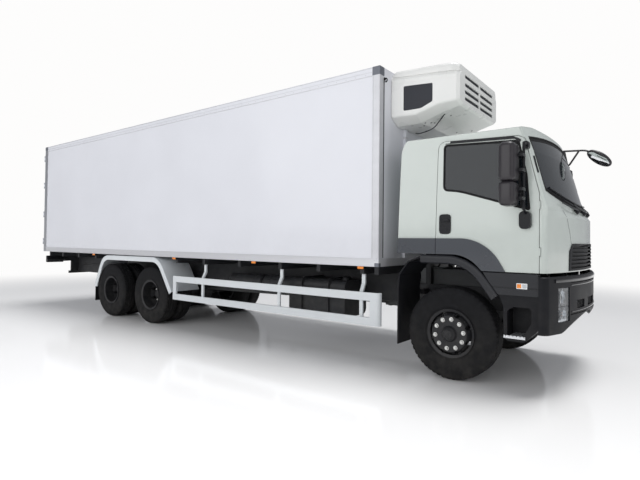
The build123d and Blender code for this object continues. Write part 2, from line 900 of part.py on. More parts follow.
with BuildPart() as step_treads:
    tread_x = (ahead(tread_rear_ahead), ahead(tread_front_ahead))
    tread_y = (-step_far - tread_proud, -step_far + step_well_depth)
    block(tread_x, tread_y, (tread_low, tread_low + tread_thickness))
    tooth_pitch = (tread_x[1] - tread_x[0]) / tread_teeth
    for number in range(tread_teeth):
        groove_x = tread_x[0] + (number + 1) * tooth_pitch - tooth_pitch * tread_tooth_share
        block(
            (groove_x, groove_x + tooth_pitch * tread_tooth_share / 2),
            (tread_y[0] - overrun, tread_y[1] + overrun),
            (tread_low + tread_thickness - tread_tooth_height, tread_low + tread_thickness + overrun),
            mode=Mode.SUBTRACT,
        )
    mirror(about=Plane.XZ)
keep("step_treads", step_treads)

# Front mudguards over the steered wheels, fixed to the frame

guard_sheet = 16.0
guard_near = 600.0
guard_far = 1196.0
flare_near = 1120.0
flare_far = 1208.0
flare_depth = 52.0
# ahead of the front axle, height
front_guard_line = (
    (548.0, 1008.0),
    (440.0, 1160.0),
    (330.0, 1290.0),
    (200.0, 1372.0),
    (51.0, 1420.0),
    (-312.0, 1420.0),
    (-520.0, 1340.0),
    (-640.0, 1180.0),
    (-655.0, 1000.0),
    (-655.0, 330.0),
)
flare_points = 6


def bent_sheet(line, near, far, thickness):
    """A bent sheet between two distances right of centre, its outer side along a side-view line."""
    with BuildPart() as sheet:
        with BuildSketch(Plane.XZ.offset(near)):
            with BuildLine():
                Polyline(*[(ahead(x), z) for x, z in line])
                offset(amount=thickness, side=Side.LEFT)
            make_face()
        extrude(amount=far - near)
    return sheet.part


front_guard_sheet = bent_sheet(front_guard_line, guard_near, guard_far, guard_sheet)
front_flare = bent_sheet(front_guard_line[:flare_points], flare_near, flare_far, flare_depth)

with BuildPart() as front_mudguards:
    add(front_guard_sheet)
    add(front_flare)
    guard_bracket_x = ahead(front_guard_line[-1][0]) + guard_sheet
    block(
        (guard_bracket_x, guard_bracket_x + bracket_width),
        (-guard_near, -rail_outer),
        (rail_top - 2 * bracket_width, rail_top - bracket_width),
    )
    mirror(about=Plane.XZ)
keep("front_mudguards", front_mudguards)

# Rear mudguards over the twin wheels, and the flaps behind them

rear_guard_line = (
    (-5118.0, 643.0),
    (-5519.0, 1239.0),
    (-7495.0, 1232.0),
    (-7785.0, 633.0),
    (-7785.0, 570.0),
)
rear_guard_near = 630.0
rear_guard_far = 1243.0
rear_guard_sheet = 9.0
rear_guard_lip = 66.0
flap_near = 660.0
flap_far = 1225.0
flap_bottom = 266.0
flap_top = 630.0
flap_thickness = 10.0
stay_stations = (-5700.0, -7320.0)
stay_size = 50.0
stay_top = 1230.0
short_bearer_half = 600.0

rear_sheet = bent_sheet(rear_guard_line, rear_guard_near, rear_guard_far, rear_guard_sheet)
rear_lip = bent_sheet(rear_guard_line, rear_guard_far - rear_guard_sheet, rear_guard_far, rear_guard_lip)

with BuildPart() as rear_mudguards:
    add(rear_sheet)
    add(rear_lip)
    # Stays out from the frame at each end of the arch's flat
    for station in stay_stations:
        stay_x = ahead(station)
        block(
            (stay_x - stay_size / 2, stay_x + stay_size / 2),
            (-rear_guard_near - stay_size, -short_bearer_half),
            (stay_top - stay_size, stay_top),
        )
    mirror(about=Plane.XZ)
keep("rear_mudguards", rear_mudguards)

with BuildPart() as mud_flaps:
    flap_x = ahead(rear_guard_line[3][0])
    block((flap_x - flap_thickness, flap_x), (-flap_far, -flap_near), (flap_bottom, flap_top))
    mirror(about=Plane.XZ)
keep("mud_flaps", mud_flaps)

# Sub-frame of the body: two sills on the rails and the bearers across them

sill_inner = 345.0
cross_bearer_width = 60.0
cross_bearer_height = 104.0
cross_bearer_half = 1180.0
# station ahead of the front axle, half length
cross_bearers = (
    (-960.0, cross_bearer_half),
    (-1174.0, cross_bearer_half),
    (-1885.0, cross_bearer_half),
    (-2595.0, cross_bearer_half),
    (-3460.0, cross_bearer_half),
    (-4322.0, cross_bearer_half),
    (-5060.0, cross_bearer_half),
    (-5700.0, short_bearer_half),
    (-6510.0, short_bearer_half),
    (-7320.0, short_bearer_half),
    (-7900.0, cross_bearer_half),
    (-8650.0, cross_bearer_half),
    (-9400.0, cross_bearer_half),
    (-10040.0, cross_bearer_half),
)

bearer_bottom = body_bottom - cross_bearer_height

with BuildPart() as body_sills:
    for side_name, side in SIDES:
        block(
            (body_rear + rail_rear_behind, body_front - rail_rear_behind),
            (side * sill_inner, side * rail_outer),
            (rail_top, bearer_bottom),
        )
keep("body_sills", body_sills)

with BuildPart() as cross_bearer_set:
    for station, half in cross_bearers:
        bearer_x = ahead(station)
        block(
            (bearer_x - cross_bearer_width / 2, bearer_x + cross_bearer_width / 2),
            (-half, half),
            (bearer_bottom, body_bottom),
        )
keep("cross_bearers", cross_bearer_set)

# Side guards: two rails on three hangers, with an end post at each end

side_guard_rear_ahead = -5095.0
side_guard_front_ahead = -886.0
side_guard_outer = 1232.0
side_guard_tube = 30.0
side_guard_lower = (507.0, 610.0)
side_guard_upper = (820.0, 924.0)
side_guard_front_post = 140.0
side_guard_rear_post = 90.0
side_guard_bend = 60.0
hanger_stations = (-1174.0, -2595.0, -4322.0)
hanger_size = 50.0
hanger_sheet = 25.0
hanger_top_y = 1120.0
hanger_kink_height = 1030.0


def guard_strip(rear, front, low, high):
    """A strip of side guard between two stations, its front end bent inboard by a quarter turn."""
    outer, inner = -side_guard_outer, -side_guard_outer + side_guard_tube
    bend = side_guard_bend
    with BuildPart() as strip:
        with BuildSketch(Plane.XY.offset(low)):
            with BuildLine():
                far_x, near_x = ahead(rear), ahead(front) - bend
                turn = bend * cos(pi / 4)
                small = (bend - side_guard_tube) * cos(pi / 4)
                Line((far_x, outer), (near_x, outer))
                ThreePointArc(
                    (near_x, outer),
                    (near_x + turn, outer + bend - turn),
                    (near_x + bend, outer + bend),
                )
                Line((near_x + bend, outer + bend), (near_x + bend - side_guard_tube, outer + bend))
                ThreePointArc(
                    (near_x + bend - side_guard_tube, outer + bend),
                    (near_x + small, outer + bend - small),
                    (near_x, inner),
                )
                Line((near_x, inner), (far_x, inner))
                Line((far_x, inner), (far_x, outer))
            make_face()
        extrude(amount=high - low)
    return strip.part


guard_rails = [
    guard_strip(side_guard_rear_ahead, side_guard_front_ahead, low, high)
    for low, high in (side_guard_lower, side_guard_upper)
]
guard_front_post = guard_strip(
    side_guard_front_ahead - side_guard_front_post,
    side_guard_front_ahead,
    side_guard_lower[0],
    side_guard_upper[1],
)

with BuildPart() as side_guards:
    rail_y = (-side_guard_outer, -side_guard_outer + side_guard_tube)
    for guard_rail in guard_rails:
        add(guard_rail)
    add(guard_front_post)
    block(
        (ahead(side_guard_rear_ahead), ahead(side_guard_rear_ahead) + side_guard_rear_post),
        rail_y,
        (side_guard_lower[0], side_guard_upper[1]),
    )
    for station in hanger_stations:
        hanger_x = ahead(station)
        inner_y = side_guard_outer - side_guard_tube
        with BuildSketch(Plane.YZ.offset(hanger_x - hanger_size / 2)):
            with BuildLine():
                Polyline(
                    (-hanger_top_y, body_bottom),
                    (-hanger_top_y - hanger_sheet, body_bottom),
                    (-hanger_top_y - hanger_sheet, hanger_kink_height),
                    (-inner_y, side_guard_upper[1]),
                    (-inner_y, side_guard_lower[0]),
                    (-inner_y + hanger_sheet, side_guard_lower[0]),
                    (-inner_y + hanger_sheet, side_guard_upper[1] - hanger_sheet / 2),
                    (-hanger_top_y, hanger_kink_height - hanger_sheet / 2),
                    close=True,
                )
            make_face()
        extrude(amount=hanger_size)
        block(
            (hanger_x - cross_bearer_width, hanger_x + cross_bearer_width),
            (-hanger_top_y - hanger_sheet, -hanger_top_y),
            (body_bottom - cross_bearer_height, body_bottom),
            mode=Mode.SUBTRACT,
        )
    mirror(about=Plane.XZ)
keep("side_guards", side_guards)

# Insulated body: floor, walls, roof and the aluminium edging

duct_y = -570.0
duct_width = 66.0
duct_depth = 32.0
unit_rear_low = 3092.0
wall_inner = body_half - edging_proud - body_wall
skin = body_half - edging_proud

with BuildPart() as box_floor:
    block(
        (body_rear + rear_post_depth, body_front - edging_proud - body_wall),
        (-wall_inner, wall_inner),
        (body_bottom, floor_top),
    )
keep("box_floor", box_floor)

with BuildPart() as box_side_walls:
    block(
        (body_rear + rear_post_depth, body_front - edging_proud),
        (-skin, -wall_inner),
        (body_bottom, body_top - edging_proud - body_wall),
    )
    mirror(about=Plane.XZ)
keep("box_side_walls", box_side_walls)

with BuildPart() as box_roof:
    block(
        (body_rear + rear_post_depth, body_front - edging_proud),
        (-skin, skin),
        (body_top - edging_proud - body_wall, body_top - edging_proud),
    )
keep("box_roof", box_roof)

with BuildPart() as box_front_wall:
    block(
        (body_front - edging_proud - body_wall, body_front - edging_proud),
        (-wall_inner, wall_inner),
        (body_bottom, body_top - edging_proud - body_wall),
    )
    # A covered drain and cable duct below the cooling unit
    block(
        (body_front - edging_proud, body_front + duct_depth),
        (duct_y - duct_width / 2, duct_y + duct_width / 2),
        (body_bottom + bottom_rail_height, unit_rear_low - seat_gap),
    )
keep("box_front_wall", box_front_wall)

with BuildPart() as box_edging:
    edging_x = (body_rear + rear_post_depth, body_front)
    block(edging_x, (-body_half, -skin), (body_bottom, body_bottom + bottom_rail_height))
    block(edging_x, (-body_half, -skin), (body_top - top_rail_height, body_top))
    block(edging_x, (-skin, -body_half + top_rail_height), (body_top - edging_proud, body_top))
    post_x = (body_front - front_post_width, body_front)
    block(post_x, (-body_half, -skin), (body_bottom + bottom_rail_height, body_top - top_rail_height))
    front_x = (body_front - edging_proud, body_front)
    block(front_x, (-skin, -body_half + front_post_width), (body_bottom, body_top - edging_proud))
    mirror(about=Plane.XZ)
    block(
        front_x,
        (-body_half + front_post_width, body_half - front_post_width),
        (body_top - top_rail_height, body_top),
    )
    block(
        front_x,
        (-body_half + front_post_width, body_half - front_post_width),
        (body_bottom, body_bottom + bottom_rail_height),
    )
keep("box_edging", box_edging)

# Rear portal of the body and its two cargo doors

rear_post_width = 60.0
rear_header = 100.0
rear_sill = floor_thickness
leaf_gap = 8.0
leaf_thickness = 80.0
leaf_centre_half = 8.0
hinge_heights = (1500.0, 2150.0, 2850.0, 3500.0)
hinge_strap_length = 260.0
hinge_strap_height = 60.0
hinge_strap_gap = 6.0
hinge_strap_thickness = 8.0
hinge_pin_radius = 6.0
hinge_bracket_height = 40.0
lock_bar_offsets = (330.0, 930.0)
lock_bar_overlap = 60.0
lock_bar_brackets = (1600.0, 2400.0, 3300.0)
lock_bracket_size = 46.0
hinge_y = body_half
hinge_x = body_rear - hinge_pin_behind

with BuildPart() as box_rear_frame:
    portal_x = (body_rear, body_rear + rear_post_depth)
    block(portal_x, (-body_half, body_half), (body_bottom, body_top))
    block(
        (body_rear - overrun, body_rear + rear_post_depth + overrun),
        (-body_half + rear_post_width, body_half - rear_post_width),
        (body_bottom + rear_sill, body_top - rear_header),
        mode=Mode.SUBTRACT,
    )
    # The fixed halves of the hinges: a bearing above and below each strap
    for height in hinge_heights:
        for up in (-1, 1):
            low = height + up * (hinge_strap_height / 2 + seat_gap)
            high = low + up * hinge_bracket_height
            for side_name, side in SIDES:
                block(
                    (hinge_x, body_rear),
                    (side * (hinge_y - hinge_knuckle_radius), side * hinge_y),
                    (low, high),
                )
                with Locations((hinge_x, side * hinge_y, (low + high) / 2)):
                    Cylinder(hinge_knuckle_radius, hinge_bracket_height)
                    Cylinder(hinge_pin_radius + seat_gap, hinge_bracket_height + overrun, mode=Mode.SUBTRACT)
keep("box_rear_frame", box_rear_frame)

leaf_low = body_bottom + rear_sill + leaf_gap
leaf_high = body_top - rear_header - leaf_gap
leaf_hinge_edge = body_half - rear_post_width - leaf_gap


def make_leaf(side):
    """One cargo door leaf with its hinge straps and pins."""
    with BuildPart() as leaf:
        block(
            (body_rear, body_rear + leaf_thickness),
            (side * leaf_centre_half, side * leaf_hinge_edge),
            (leaf_low, leaf_high),
        )
        strap_face = body_rear - hinge_strap_gap
        for height in hinge_heights:
            strap_z = (height - hinge_strap_height / 2, height + hinge_strap_height / 2)
            block(
                (strap_face - hinge_strap_thickness, strap_face),
                (side * (hinge_y - hinge_strap_length), side * hinge_y),
                strap_z,
            )
            block(
                (strap_face - hinge_strap_thickness, body_rear),
                (side * (hinge_y - hinge_strap_length), side * leaf_hinge_edge),
                strap_z,
            )
            with Locations((hinge_x, side * hinge_y, height)):
                Cylinder(hinge_knuckle_radius, hinge_strap_height)
                Cylinder(hinge_pin_radius, hinge_strap_height + 2 * hinge_bracket_height)
    return leaf


def make_lock_bars(side):
    """The two upright lock bars of a leaf, the brackets that hold them and their handles."""
    with BuildPart() as bars:
        bar_x = body_rear - lock_bar_standoff
        bar_low = leaf_low - lock_bar_overlap
        bar_high = leaf_high + lock_bar_overlap
        for offset_y in lock_bar_offsets:
            bar_y = side * (hinge_y - offset_y)
            with Locations((bar_x, bar_y, (bar_low + bar_high) / 2)):
                Cylinder(lock_bar_radius, bar_high - bar_low)
            for height in lock_bar_brackets:
                block(
                    (bar_x - lock_bar_radius, body_rear),
                    (bar_y - lock_bracket_size / 2, bar_y + lock_bracket_size / 2),
                    (height - lock_bracket_size, height + lock_bracket_size),
                )
    return bars


for side_name, side in SIDES:
    keep(f"cargo_door_{side_name}_leaf", make_leaf(side))
    keep(f"cargo_door_{side_name}_lock_bars", make_lock_bars(side))

# Cab: its outer form as stacked plan sections, cut by a side view and an arched front view

# height, nose ahead of the front axle, half width, corner, crown
cab_levels = (
    (1200.0, 1218.0, 1200.0, 48.0, front_crown_radius),
    (1850.0, 1218.0, 1200.0, 48.0, front_crown_radius),
    (1940.0, 1150.0, 1200.0, 36.0, screen_crown_radius),
    (2090.0, 1104.0, 1198.0, 30.0, screen_crown_radius),
    (2541.0, 978.0, 1187.0, 24.0, screen_crown_radius),
    (2950.0, 830.0, 1170.0, 24.0, screen_crown_radius),
)
# Corners of the side view: ahead of the front axle, height, and the outward way as a share along each of these
cab_heel = (-653.0, cab_rear_bottom, -1.0, -1.0)
arch_start = (51.0, cab_rear_bottom, -0.1, -1.0)
arch_middle = (215.0, 1392.0, -0.45, -0.9)
arch_end = (330.0, 1306.0, -0.6, -0.8)
arch_foot = (372.0, cab_bottom, -0.41, -1.0)
cab_toe = (1300.0, cab_bottom, 0.0, -1.0)
cab_brow = (1300.0, 2740.0, 0.0, 1.0)
roof_front = (853.0, 2830.0, 0.0, 1.0)
roof_middle = (260.0, roof_height, 0.0, 1.0)
roof_rear = (-330.0, 2864.0, -0.2, 1.0)
roof_corner = (-552.0, 2786.0, -0.65, 0.75)
rear_shoulder = (-616.0, 2640.0, -1.0, 0.1)
roof_eaves = 2796.0
eave_round = 70.0


def side_point(corner, inset=0.0):
    """A corner of the side view drawn in by inset, with its distance ahead turned into an X."""
    distance, height, ahead_share, up_share = corner
    return ahead(distance) - inset * ahead_share, height - inset * up_share


def cab_solid(inset):
    """The cab's outer form, drawn in by inset; a negative inset grows its sides and nose alone."""
    plans = [
        crowned_plan(
            ahead(nose) - inset, half - inset, corner, crown - inset, ahead(cab_rear_ahead) - overrun, height
        )
        for height, nose, half, corner, crown in cab_levels
    ]
    with BuildPart() as body:
        loft(sections=plans, ruled=True)
        with BuildSketch(Plane.XZ.offset(-cab_half - overrun)):
            with BuildLine():
                drawn = max(inset, 0)
                heel, toe = side_point(cab_heel, drawn), side_point(cab_toe, drawn)
                arch = [side_point(corner, drawn) for corner in (arch_start, arch_middle, arch_end)]
                roof = [side_point(corner, drawn) for corner in (roof_front, roof_middle, roof_rear)]
                rear = [side_point(corner, drawn) for corner in (roof_rear, roof_corner, rear_shoulder)]
                Line(heel, arch[0])
                ThreePointArc(*arch)
                Polyline(arch[-1], side_point(arch_foot, drawn), toe, side_point(cab_brow, drawn), roof[0])
                ThreePointArc(*roof)
                ThreePointArc(*rear)
                Line(rear[-1], heel)
            make_face()
        extrude(amount=2 * (cab_half + overrun), mode=Mode.INTERSECT)
        with BuildSketch(Plane.YZ.offset(ahead(cab_rear_ahead) - 2 * overrun)) as front_view:
            with BuildLine():
                half = cab_half - inset
                Line((-half, cab_bottom - overrun), (half, cab_bottom - overrun))
                Line((half, cab_bottom - overrun), (half, roof_eaves - inset))
                ThreePointArc(
                    (half, roof_eaves - inset),
                    (0, roof_height - inset),
                    (-half, roof_eaves - inset),
                )
                Line((-half, roof_eaves - inset), (-half, cab_bottom - overrun))
            make_face()
            for eave_side in (-1, 1):
                eave = front_view.vertices().sort_by_distance((eave_side * half, roof_eaves - inset, 0))[0]
                fillet(eave, eave_round - inset / 2)
        extrude(amount=cab_nose_ahead - cab_rear_ahead + 4 * overrun, mode=Mode.INTERSECT)
    return body.part


# Outlines in the side view: ahead of the front axle, height, rounding
door_outline = (
    (-166.0, cab_rear_bottom - overrun, 0.0),
    (-166.0, 1638.0, 0.0),
    (-143.0, 2735.0, 90.0),
    (745.0, 2705.0, 60.0),
    (812.0, 2671.0, 40.0),
    (957.0, 2085.0, 0.0),
    (957.0, cab_bottom - overrun, 0.0),
    (372.0, cab_bottom - overrun, 0.0),
)
door_window = (
    (-75.0, 2692.0, 50.0),
    (-75.0, 2160.0, 60.0),
    (110.0, 2140.0, 200.0),
    (715.0, 1951.0, 60.0),
    (866.0, 1908.0, 30.0),
    (836.0, 2280.0, 0.0),
    (752.0, 2655.0, 50.0),
)
visor_outline = (
    (-62.0, 2700.0, 10.0),
    (-62.0, 2730.0, 10.0),
    (690.0, 2702.0, 10.0),
    (772.0, 2660.0, 10.0),
    (762.0, 2628.0, 6.0),
    (706.0, 2672.0, 10.0),
)
band_proud = 12.0
band_top = 1615.0
band_bend_start = (102.0, band_top)
band_bend_middle = (400.0, 1534.0)
band_bend_end = (548.0, 1386.0)
band_foot = (621.0, cab_bottom)
band_rear = -700.0
# Outlines in the front view: distance from centre, height
screen_bottom_centre = 1945.0
screen_bottom_corner = (1085.0, 2118.0)
screen_top_corner = (1068.0, 2700.0)
screen_top_centre = 2765.0
front_tool_ahead = 1040.0
screen_tool_ahead = 640.0
grille_outline = ((722.0, 1275.0), (712.0, 1489.0), (633.0, 1568.0))
glass_inset = 8.0
glass_thickness = 8.0
grille_proud = 10.0
door_hinge_ahead = 958.0
door_hinge_y = 1196.0


def side_tool(points, shrink=0.0):
    """A prism across the whole cab from a side-view outline, drawn in by shrink."""
    outline = rounded_outline([(ahead(x), z, rounding) for x, z, rounding in points])
    with BuildPart() as tool:
        with BuildSketch(Plane.XZ.offset(-cab_half - 2 * overrun)):
            add(outline)
            if shrink:
                offset(amount=-shrink, kind=Kind.INTERSECTION, mode=Mode.REPLACE)
        extrude(amount=2 * (cab_half + 2 * overrun))
    return tool.part


def band_tool():
    """A prism across the whole cab from the outline of the dark band round the wheel arch."""
    low = cab_bottom - overrun
    with BuildPart() as tool:
        with BuildSketch(Plane.XZ.offset(-cab_half - 2 * overrun)):
            with BuildLine():
                Line((ahead(band_rear), low), (ahead(band_rear), band_top))
                bend = [(ahead(x), z) for x, z in (band_bend_start, band_bend_middle, band_bend_end)]
                foot = (ahead(band_foot[0]), band_foot[1])
                Line((ahead(band_rear), band_top), bend[0])
                ThreePointArc(*bend)
                Line(bend[-1], foot)
                Line(foot, (ahead(band_foot[0]), low))
                Line((ahead(band_foot[0]), low), (ahead(band_rear), low))
            make_face()
        extrude(amount=2 * (cab_half + 2 * overrun))
    return tool.part


def screen_tool(shrink=0.0):
    """A prism forward through the windscreen's outline, drawn in by shrink."""
    with BuildPart() as tool:
        with BuildSketch(Plane.YZ.offset(ahead(screen_tool_ahead))):
            with BuildLine():
                low_y, low_z = screen_bottom_corner
                high_y, high_z = screen_top_corner
                ThreePointArc((-low_y, low_z), (0, screen_bottom_centre), (low_y, low_z))
                Line((low_y, low_z), (high_y, high_z))
                ThreePointArc((high_y, high_z), (0, screen_top_centre), (-high_y, high_z))
                Line((-high_y, high_z), (-low_y, low_z))
            make_face()
            if shrink:
                offset(amount=-shrink, kind=Kind.INTERSECTION, mode=Mode.REPLACE)
        extrude(amount=cab_nose_ahead - screen_tool_ahead + overrun)
    return tool.part


def grille_tool(shrink=0.0):
    """A prism forward through the grille's outline, drawn in by shrink."""
    right_side = [(-y, z) for y, z in grille_outline]
    left_side = [(y, z) for y, z in reversed(grille_outline)]
    with BuildPart() as tool:
        with BuildSketch(Plane.YZ.offset(ahead(front_tool_ahead))):
            with BuildLine():
                Polyline(*right_side, *left_side, close=True)
            make_face()
            if shrink:
                offset(amount=-shrink, kind=Kind.INTERSECTION, mode=Mode.REPLACE)
        extrude(amount=cab_nose_ahead - front_tool_ahead + overrun)
    return tool.part


def cab_slab(rear, front, low, high):
    """The space across the whole cab between two stations and two heights."""
    with BuildPart() as slab:
        block((ahead(rear), ahead(front)), (-cab_half - overrun, cab_half + overrun), (low, high))
    return slab.part


def half_space(side):
    """The space on one side of the cab: its wall only, and a little more above the dark band."""
    x_span = (ahead(cab_rear_ahead) - overrun, ahead(cab_nose_ahead) + overrun)
    outboard = side * (cab_half + 2 * overrun)
    with BuildPart() as space:
        block(x_span, (side * (cab_half - cab_wall), outboard), (cab_bottom - overrun, roof_height + overrun))
        inboard = side * (cab_half - door_depth_share * cab_wall)
        block(x_span, (inboard, outboard), (band_top, roof_height + overrun))
    return space.part


def door_barrels(side, radius, height):
    """The upright hinge barrels of one door, or with a larger radius the pockets round them."""
    with BuildPart() as barrels:
        with Locations(*[(ahead(door_hinge_ahead), side * door_hinge_y, z) for z in door_barrel_heights]):
            Cylinder(radius, height)
    return barrels.part


door_depth_share = 1.5
door_barrel_radius = 8.0
door_pocket_radius = 14.0
door_barrel_height = 80.0
door_barrel_heights = (1480.0, 1960.0)
cab_outer = cab_solid(0)
cab_inner = cab_solid(cab_wall)
cab_skin = cab_outer - cab_inner
door_zone = side_tool(door_outline)
door_core = side_tool(door_outline, panel_gap)
window_zone = side_tool(door_window)
band_zone = band_tool()
glass_skin = cab_solid(glass_inset) - cab_solid(glass_inset + glass_thickness)
band_outer = cab_solid(-band_proud)
band_skin = band_outer - cab_inner
right_space, left_space = half_space(-1), half_space(1)
both_spaces = right_space + left_space
panel_split = 1905.0
low_end = cab_bottom - overrun
front_panel_rear = 900.0
front_panel_zone = cab_slab(front_panel_rear, cab_toe[0], low_end, panel_split)
floor_zone = cab_slab(band_rear, front_panel_rear, low_end, cab_rear_bottom + cab_wall)

# The tilt arms: an eye on each frame pin and an arm up to the cab's floor
arm_points = (
    (tilt_arm_foot_ahead - tilt_eye_radius, cab_bottom + cab_wall / 2),
    (tilt_ahead - tilt_eye_radius / 2, tilt_height - tilt_eye_radius / 2),
    (tilt_ahead + tilt_eye_radius / 2, tilt_height + tilt_eye_radius / 2),
    (tilt_arm_foot_ahead + tilt_eye_radius, cab_bottom + cab_wall / 2),
)

with BuildPart() as tilt_arms:
    side_prism([(ahead(x), z) for x, z in arm_points], tilt_arm_near, tilt_arm_far)
    with BuildSketch(Plane.XZ.offset(tilt_arm_near)):
        with Locations((tilt_x, tilt_height)):
            Circle(tilt_eye_radius)
    extrude(amount=tilt_arm_far - tilt_arm_near)
    with BuildSketch(Plane.XZ.offset(tilt_arm_near - overrun)):
        with Locations((tilt_x, tilt_height)):
            Circle(tilt_pin_radius + seat_gap)
    extrude(amount=tilt_arm_far - tilt_arm_near + 2 * overrun, mode=Mode.SUBTRACT)
    block(
        (ahead(tilt_arm_foot_ahead) - 2 * overrun, ahead(tilt_ahead)),
        (-tilt_arm_far - overrun, -tilt_arm_near + overrun),
        (cab_bottom + cab_wall / 4, cab_bottom + 2 * overrun),
        mode=Mode.SUBTRACT,
    )
    mirror(about=Plane.XZ)

pockets = [door_barrels(side, door_pocket_radius, door_barrel_height + 2 * panel_gap) for _, side in SIDES]
cab_openings = [door_zone & both_spaces, screen_tool(), grille_tool(), band_zone & both_spaces] + pockets

with BuildPart() as cab_shell:
    add(cab_skin)
    for opening in cab_openings:
        add(opening, mode=Mode.SUBTRACT)
    add(front_panel_zone, mode=Mode.SUBTRACT)
    add(floor_zone, mode=Mode.SUBTRACT)
keep("cab_shell", cab_shell)

with BuildPart() as cab_front_panel:
    add(cab_skin & front_panel_zone)
    for opening in cab_openings:
        add(opening, mode=Mode.SUBTRACT)
keep("cab_front_panel", cab_front_panel)

with BuildPart() as cab_floor:
    add(cab_skin & floor_zone)
    for opening in cab_openings:
        add(opening, mode=Mode.SUBTRACT)
    add(tilt_arms.part)
keep("cab_floor", cab_floor)

with BuildPart() as arch_trim:
    add((band_zone & both_spaces & band_skin) - door_zone)
keep("cab_arch_trim", arch_trim)

with BuildPart() as windscreen:
    add(glass_skin & screen_tool(seat_gap))
keep("windscreen", windscreen)

grille_slot_low = 1300.0
grille_slot_pitch = 42.0
grille_slot_height = 24.0
grille_slots = 6
grille_slot_depth = 26.0
grille_slot_half = 676.0
grille_slot_step = 8.0

with BuildPart() as grille_slot_set:
    for number in range(grille_slots):
        slot_low = grille_slot_low + number * grille_slot_pitch
        slot_half = grille_slot_half - number * grille_slot_step
        block(
            (ahead(front_tool_ahead), ahead(cab_toe[0])),
            (-slot_half, slot_half),
            (slot_low, slot_low + grille_slot_height),
        )
    add(cab_solid(grille_slot_depth), mode=Mode.SUBTRACT)

with BuildPart() as grille:
    add((cab_solid(-grille_proud) - cab_inner) & grille_tool(seat_gap))
    add(grille_slot_set.part, mode=Mode.SUBTRACT)
keep("grille", grille)

# Seats, bunk and dashboard

seat_y = 700.0
seat_width = 480.0
seat_ahead = 80.0
seat_depth = 460.0
seat_floor = cab_rear_bottom + cab_wall
seat_height = 330.0
seat_back_thickness = 130.0
seat_back_height = 620.0
bunk_depth = 60.0
bunk_height = 420.0
bunk_half = 1050.0
dash_ahead = 700.0
dash_depth = 260.0
dash_half = 1050.0
dash_low = 1700.0
dash_high = 1980.0
wheel_centre_y = -650.0
steering_ring = 220.0
steering_tube = 16.0
steering_column = 28.0
steering_reach = 150.0
steering_drop = 20.0

with BuildPart() as cab_interior:
    for side_name, side in SIDES:
        seat_span = (side * seat_y - seat_width / 2, side * seat_y + seat_width / 2)
        block(
            (ahead(seat_ahead - seat_depth), ahead(seat_ahead)),
            seat_span,
            (seat_floor, seat_floor + seat_height),
        )
        block(
            (ahead(seat_ahead - seat_depth - seat_back_thickness), ahead(seat_ahead - seat_depth)),
            seat_span,
            (seat_floor, seat_floor + seat_height + seat_back_height),
        )
    # The bunk across the rear wall
    block(
        (ahead(cab_rear_ahead) + 2 * cab_wall, ahead(cab_rear_ahead) + 2 * cab_wall + bunk_depth),
        (-bunk_half, bunk_half),
        (seat_floor, seat_floor + bunk_height),
    )
    # The dashboard, with the steering column and wheel on the driver's side
    block((ahead(dash_ahead), ahead(dash_ahead + dash_depth)), (-dash_half, dash_half), (dash_low, dash_high))
    block(
        (ahead(dash_ahead + dash_depth / 4), ahead(dash_ahead + dash_depth / 2)),
        (-overrun, overrun),
        (cab_bottom + cab_wall, dash_low),
    )
    wheel_centre = Vector(ahead(dash_ahead - steering_reach), wheel_centre_y, dash_high - steering_drop)
    column_foot = Vector(ahead(dash_ahead + dash_depth / 2), wheel_centre_y, dash_low + steering_tube)
    column = column_foot - wheel_centre
    with BuildSketch(Plane(origin=wheel_centre, z_dir=column)):
        Circle(steering_column)
    extrude(amount=column.length)
    with Locations(Plane(origin=wheel_centre, z_dir=column).location):
        Torus(steering_ring, steering_tube)
        Box(2 * steering_ring, 2 * steering_column, steering_tube)
        Box(2 * steering_column, 2 * steering_ring, steering_tube)
keep("cab_interior", cab_interior)

# Doors: panel, lower band, window, and the mirrors on their arms

mirror_plane_y = 1450.0
mirror_width = 220.0
mirror_depth = 137.0
mirror_middle_ahead = 721.5
mirror_corner = 45.0
mirror_edge = 22.0
mirror_recess = 8.0
mirror_rim = 16.0
# bottom and top
mirror_heads = ((2191.0, 2571.0), (1950.0, 2182.0))
mirror_arm_ahead = 835.0
mirror_arm_y = 1330.0
mirror_arm_radius = 14.0
mirror_arm_low = 1840.0
mirror_arm_low_bend = 1915.0
mirror_arm_high = 2588.0
mirror_arm_near = 1180.0
mirror_clamp = 15.0
mirror_clamp_share = 0.3
# rear and front ahead of the front axle, bottom, top, how far the block stands out
mirror_base_low = (769.0, 882.0, 1715.0, 1899.0, 58.0)
mirror_base_high = (800.0, 860.0, 2545.0, 2625.0, 42.0)
handle_plate = (-116.0, 19.0, 1690.0, 1866.0, 10.0)
handle_plate_round = 40.0
handle_bar = (-100.0, 4.0, 1800.0, 1838.0, 24.0)


def tube(points, radius):
    """A round tube through a row of points, with a ball at every bend."""
    for start, end in zip(points, points[1:]):
        along = Vector(*end) - Vector(*start)
        with BuildSketch(Plane(origin=start, z_dir=along)) as section:
            Circle(radius)
        extrude(section.sketch, amount=along.length)
    with Locations(*points[1:-1]):
        Sphere(radius)


def door_block(side, limits, rounding):
    """A block on the outside of a door, its edges rounded in the side view."""
    rear, front, low, high, proud = limits
    corners = ((rear, low), (front, low), (front, high), (rear, high))
    outline = rounded_outline([(ahead(x), z, rounding) for x, z in corners])
    wall = cab_half - cab_wall / 2
    reach = cab_half + proud - wall
    with BuildSketch(Plane.XZ.offset(wall if side < 0 else -wall - reach)) as face:
        add(outline)
    extrude(face.sketch, amount=reach)


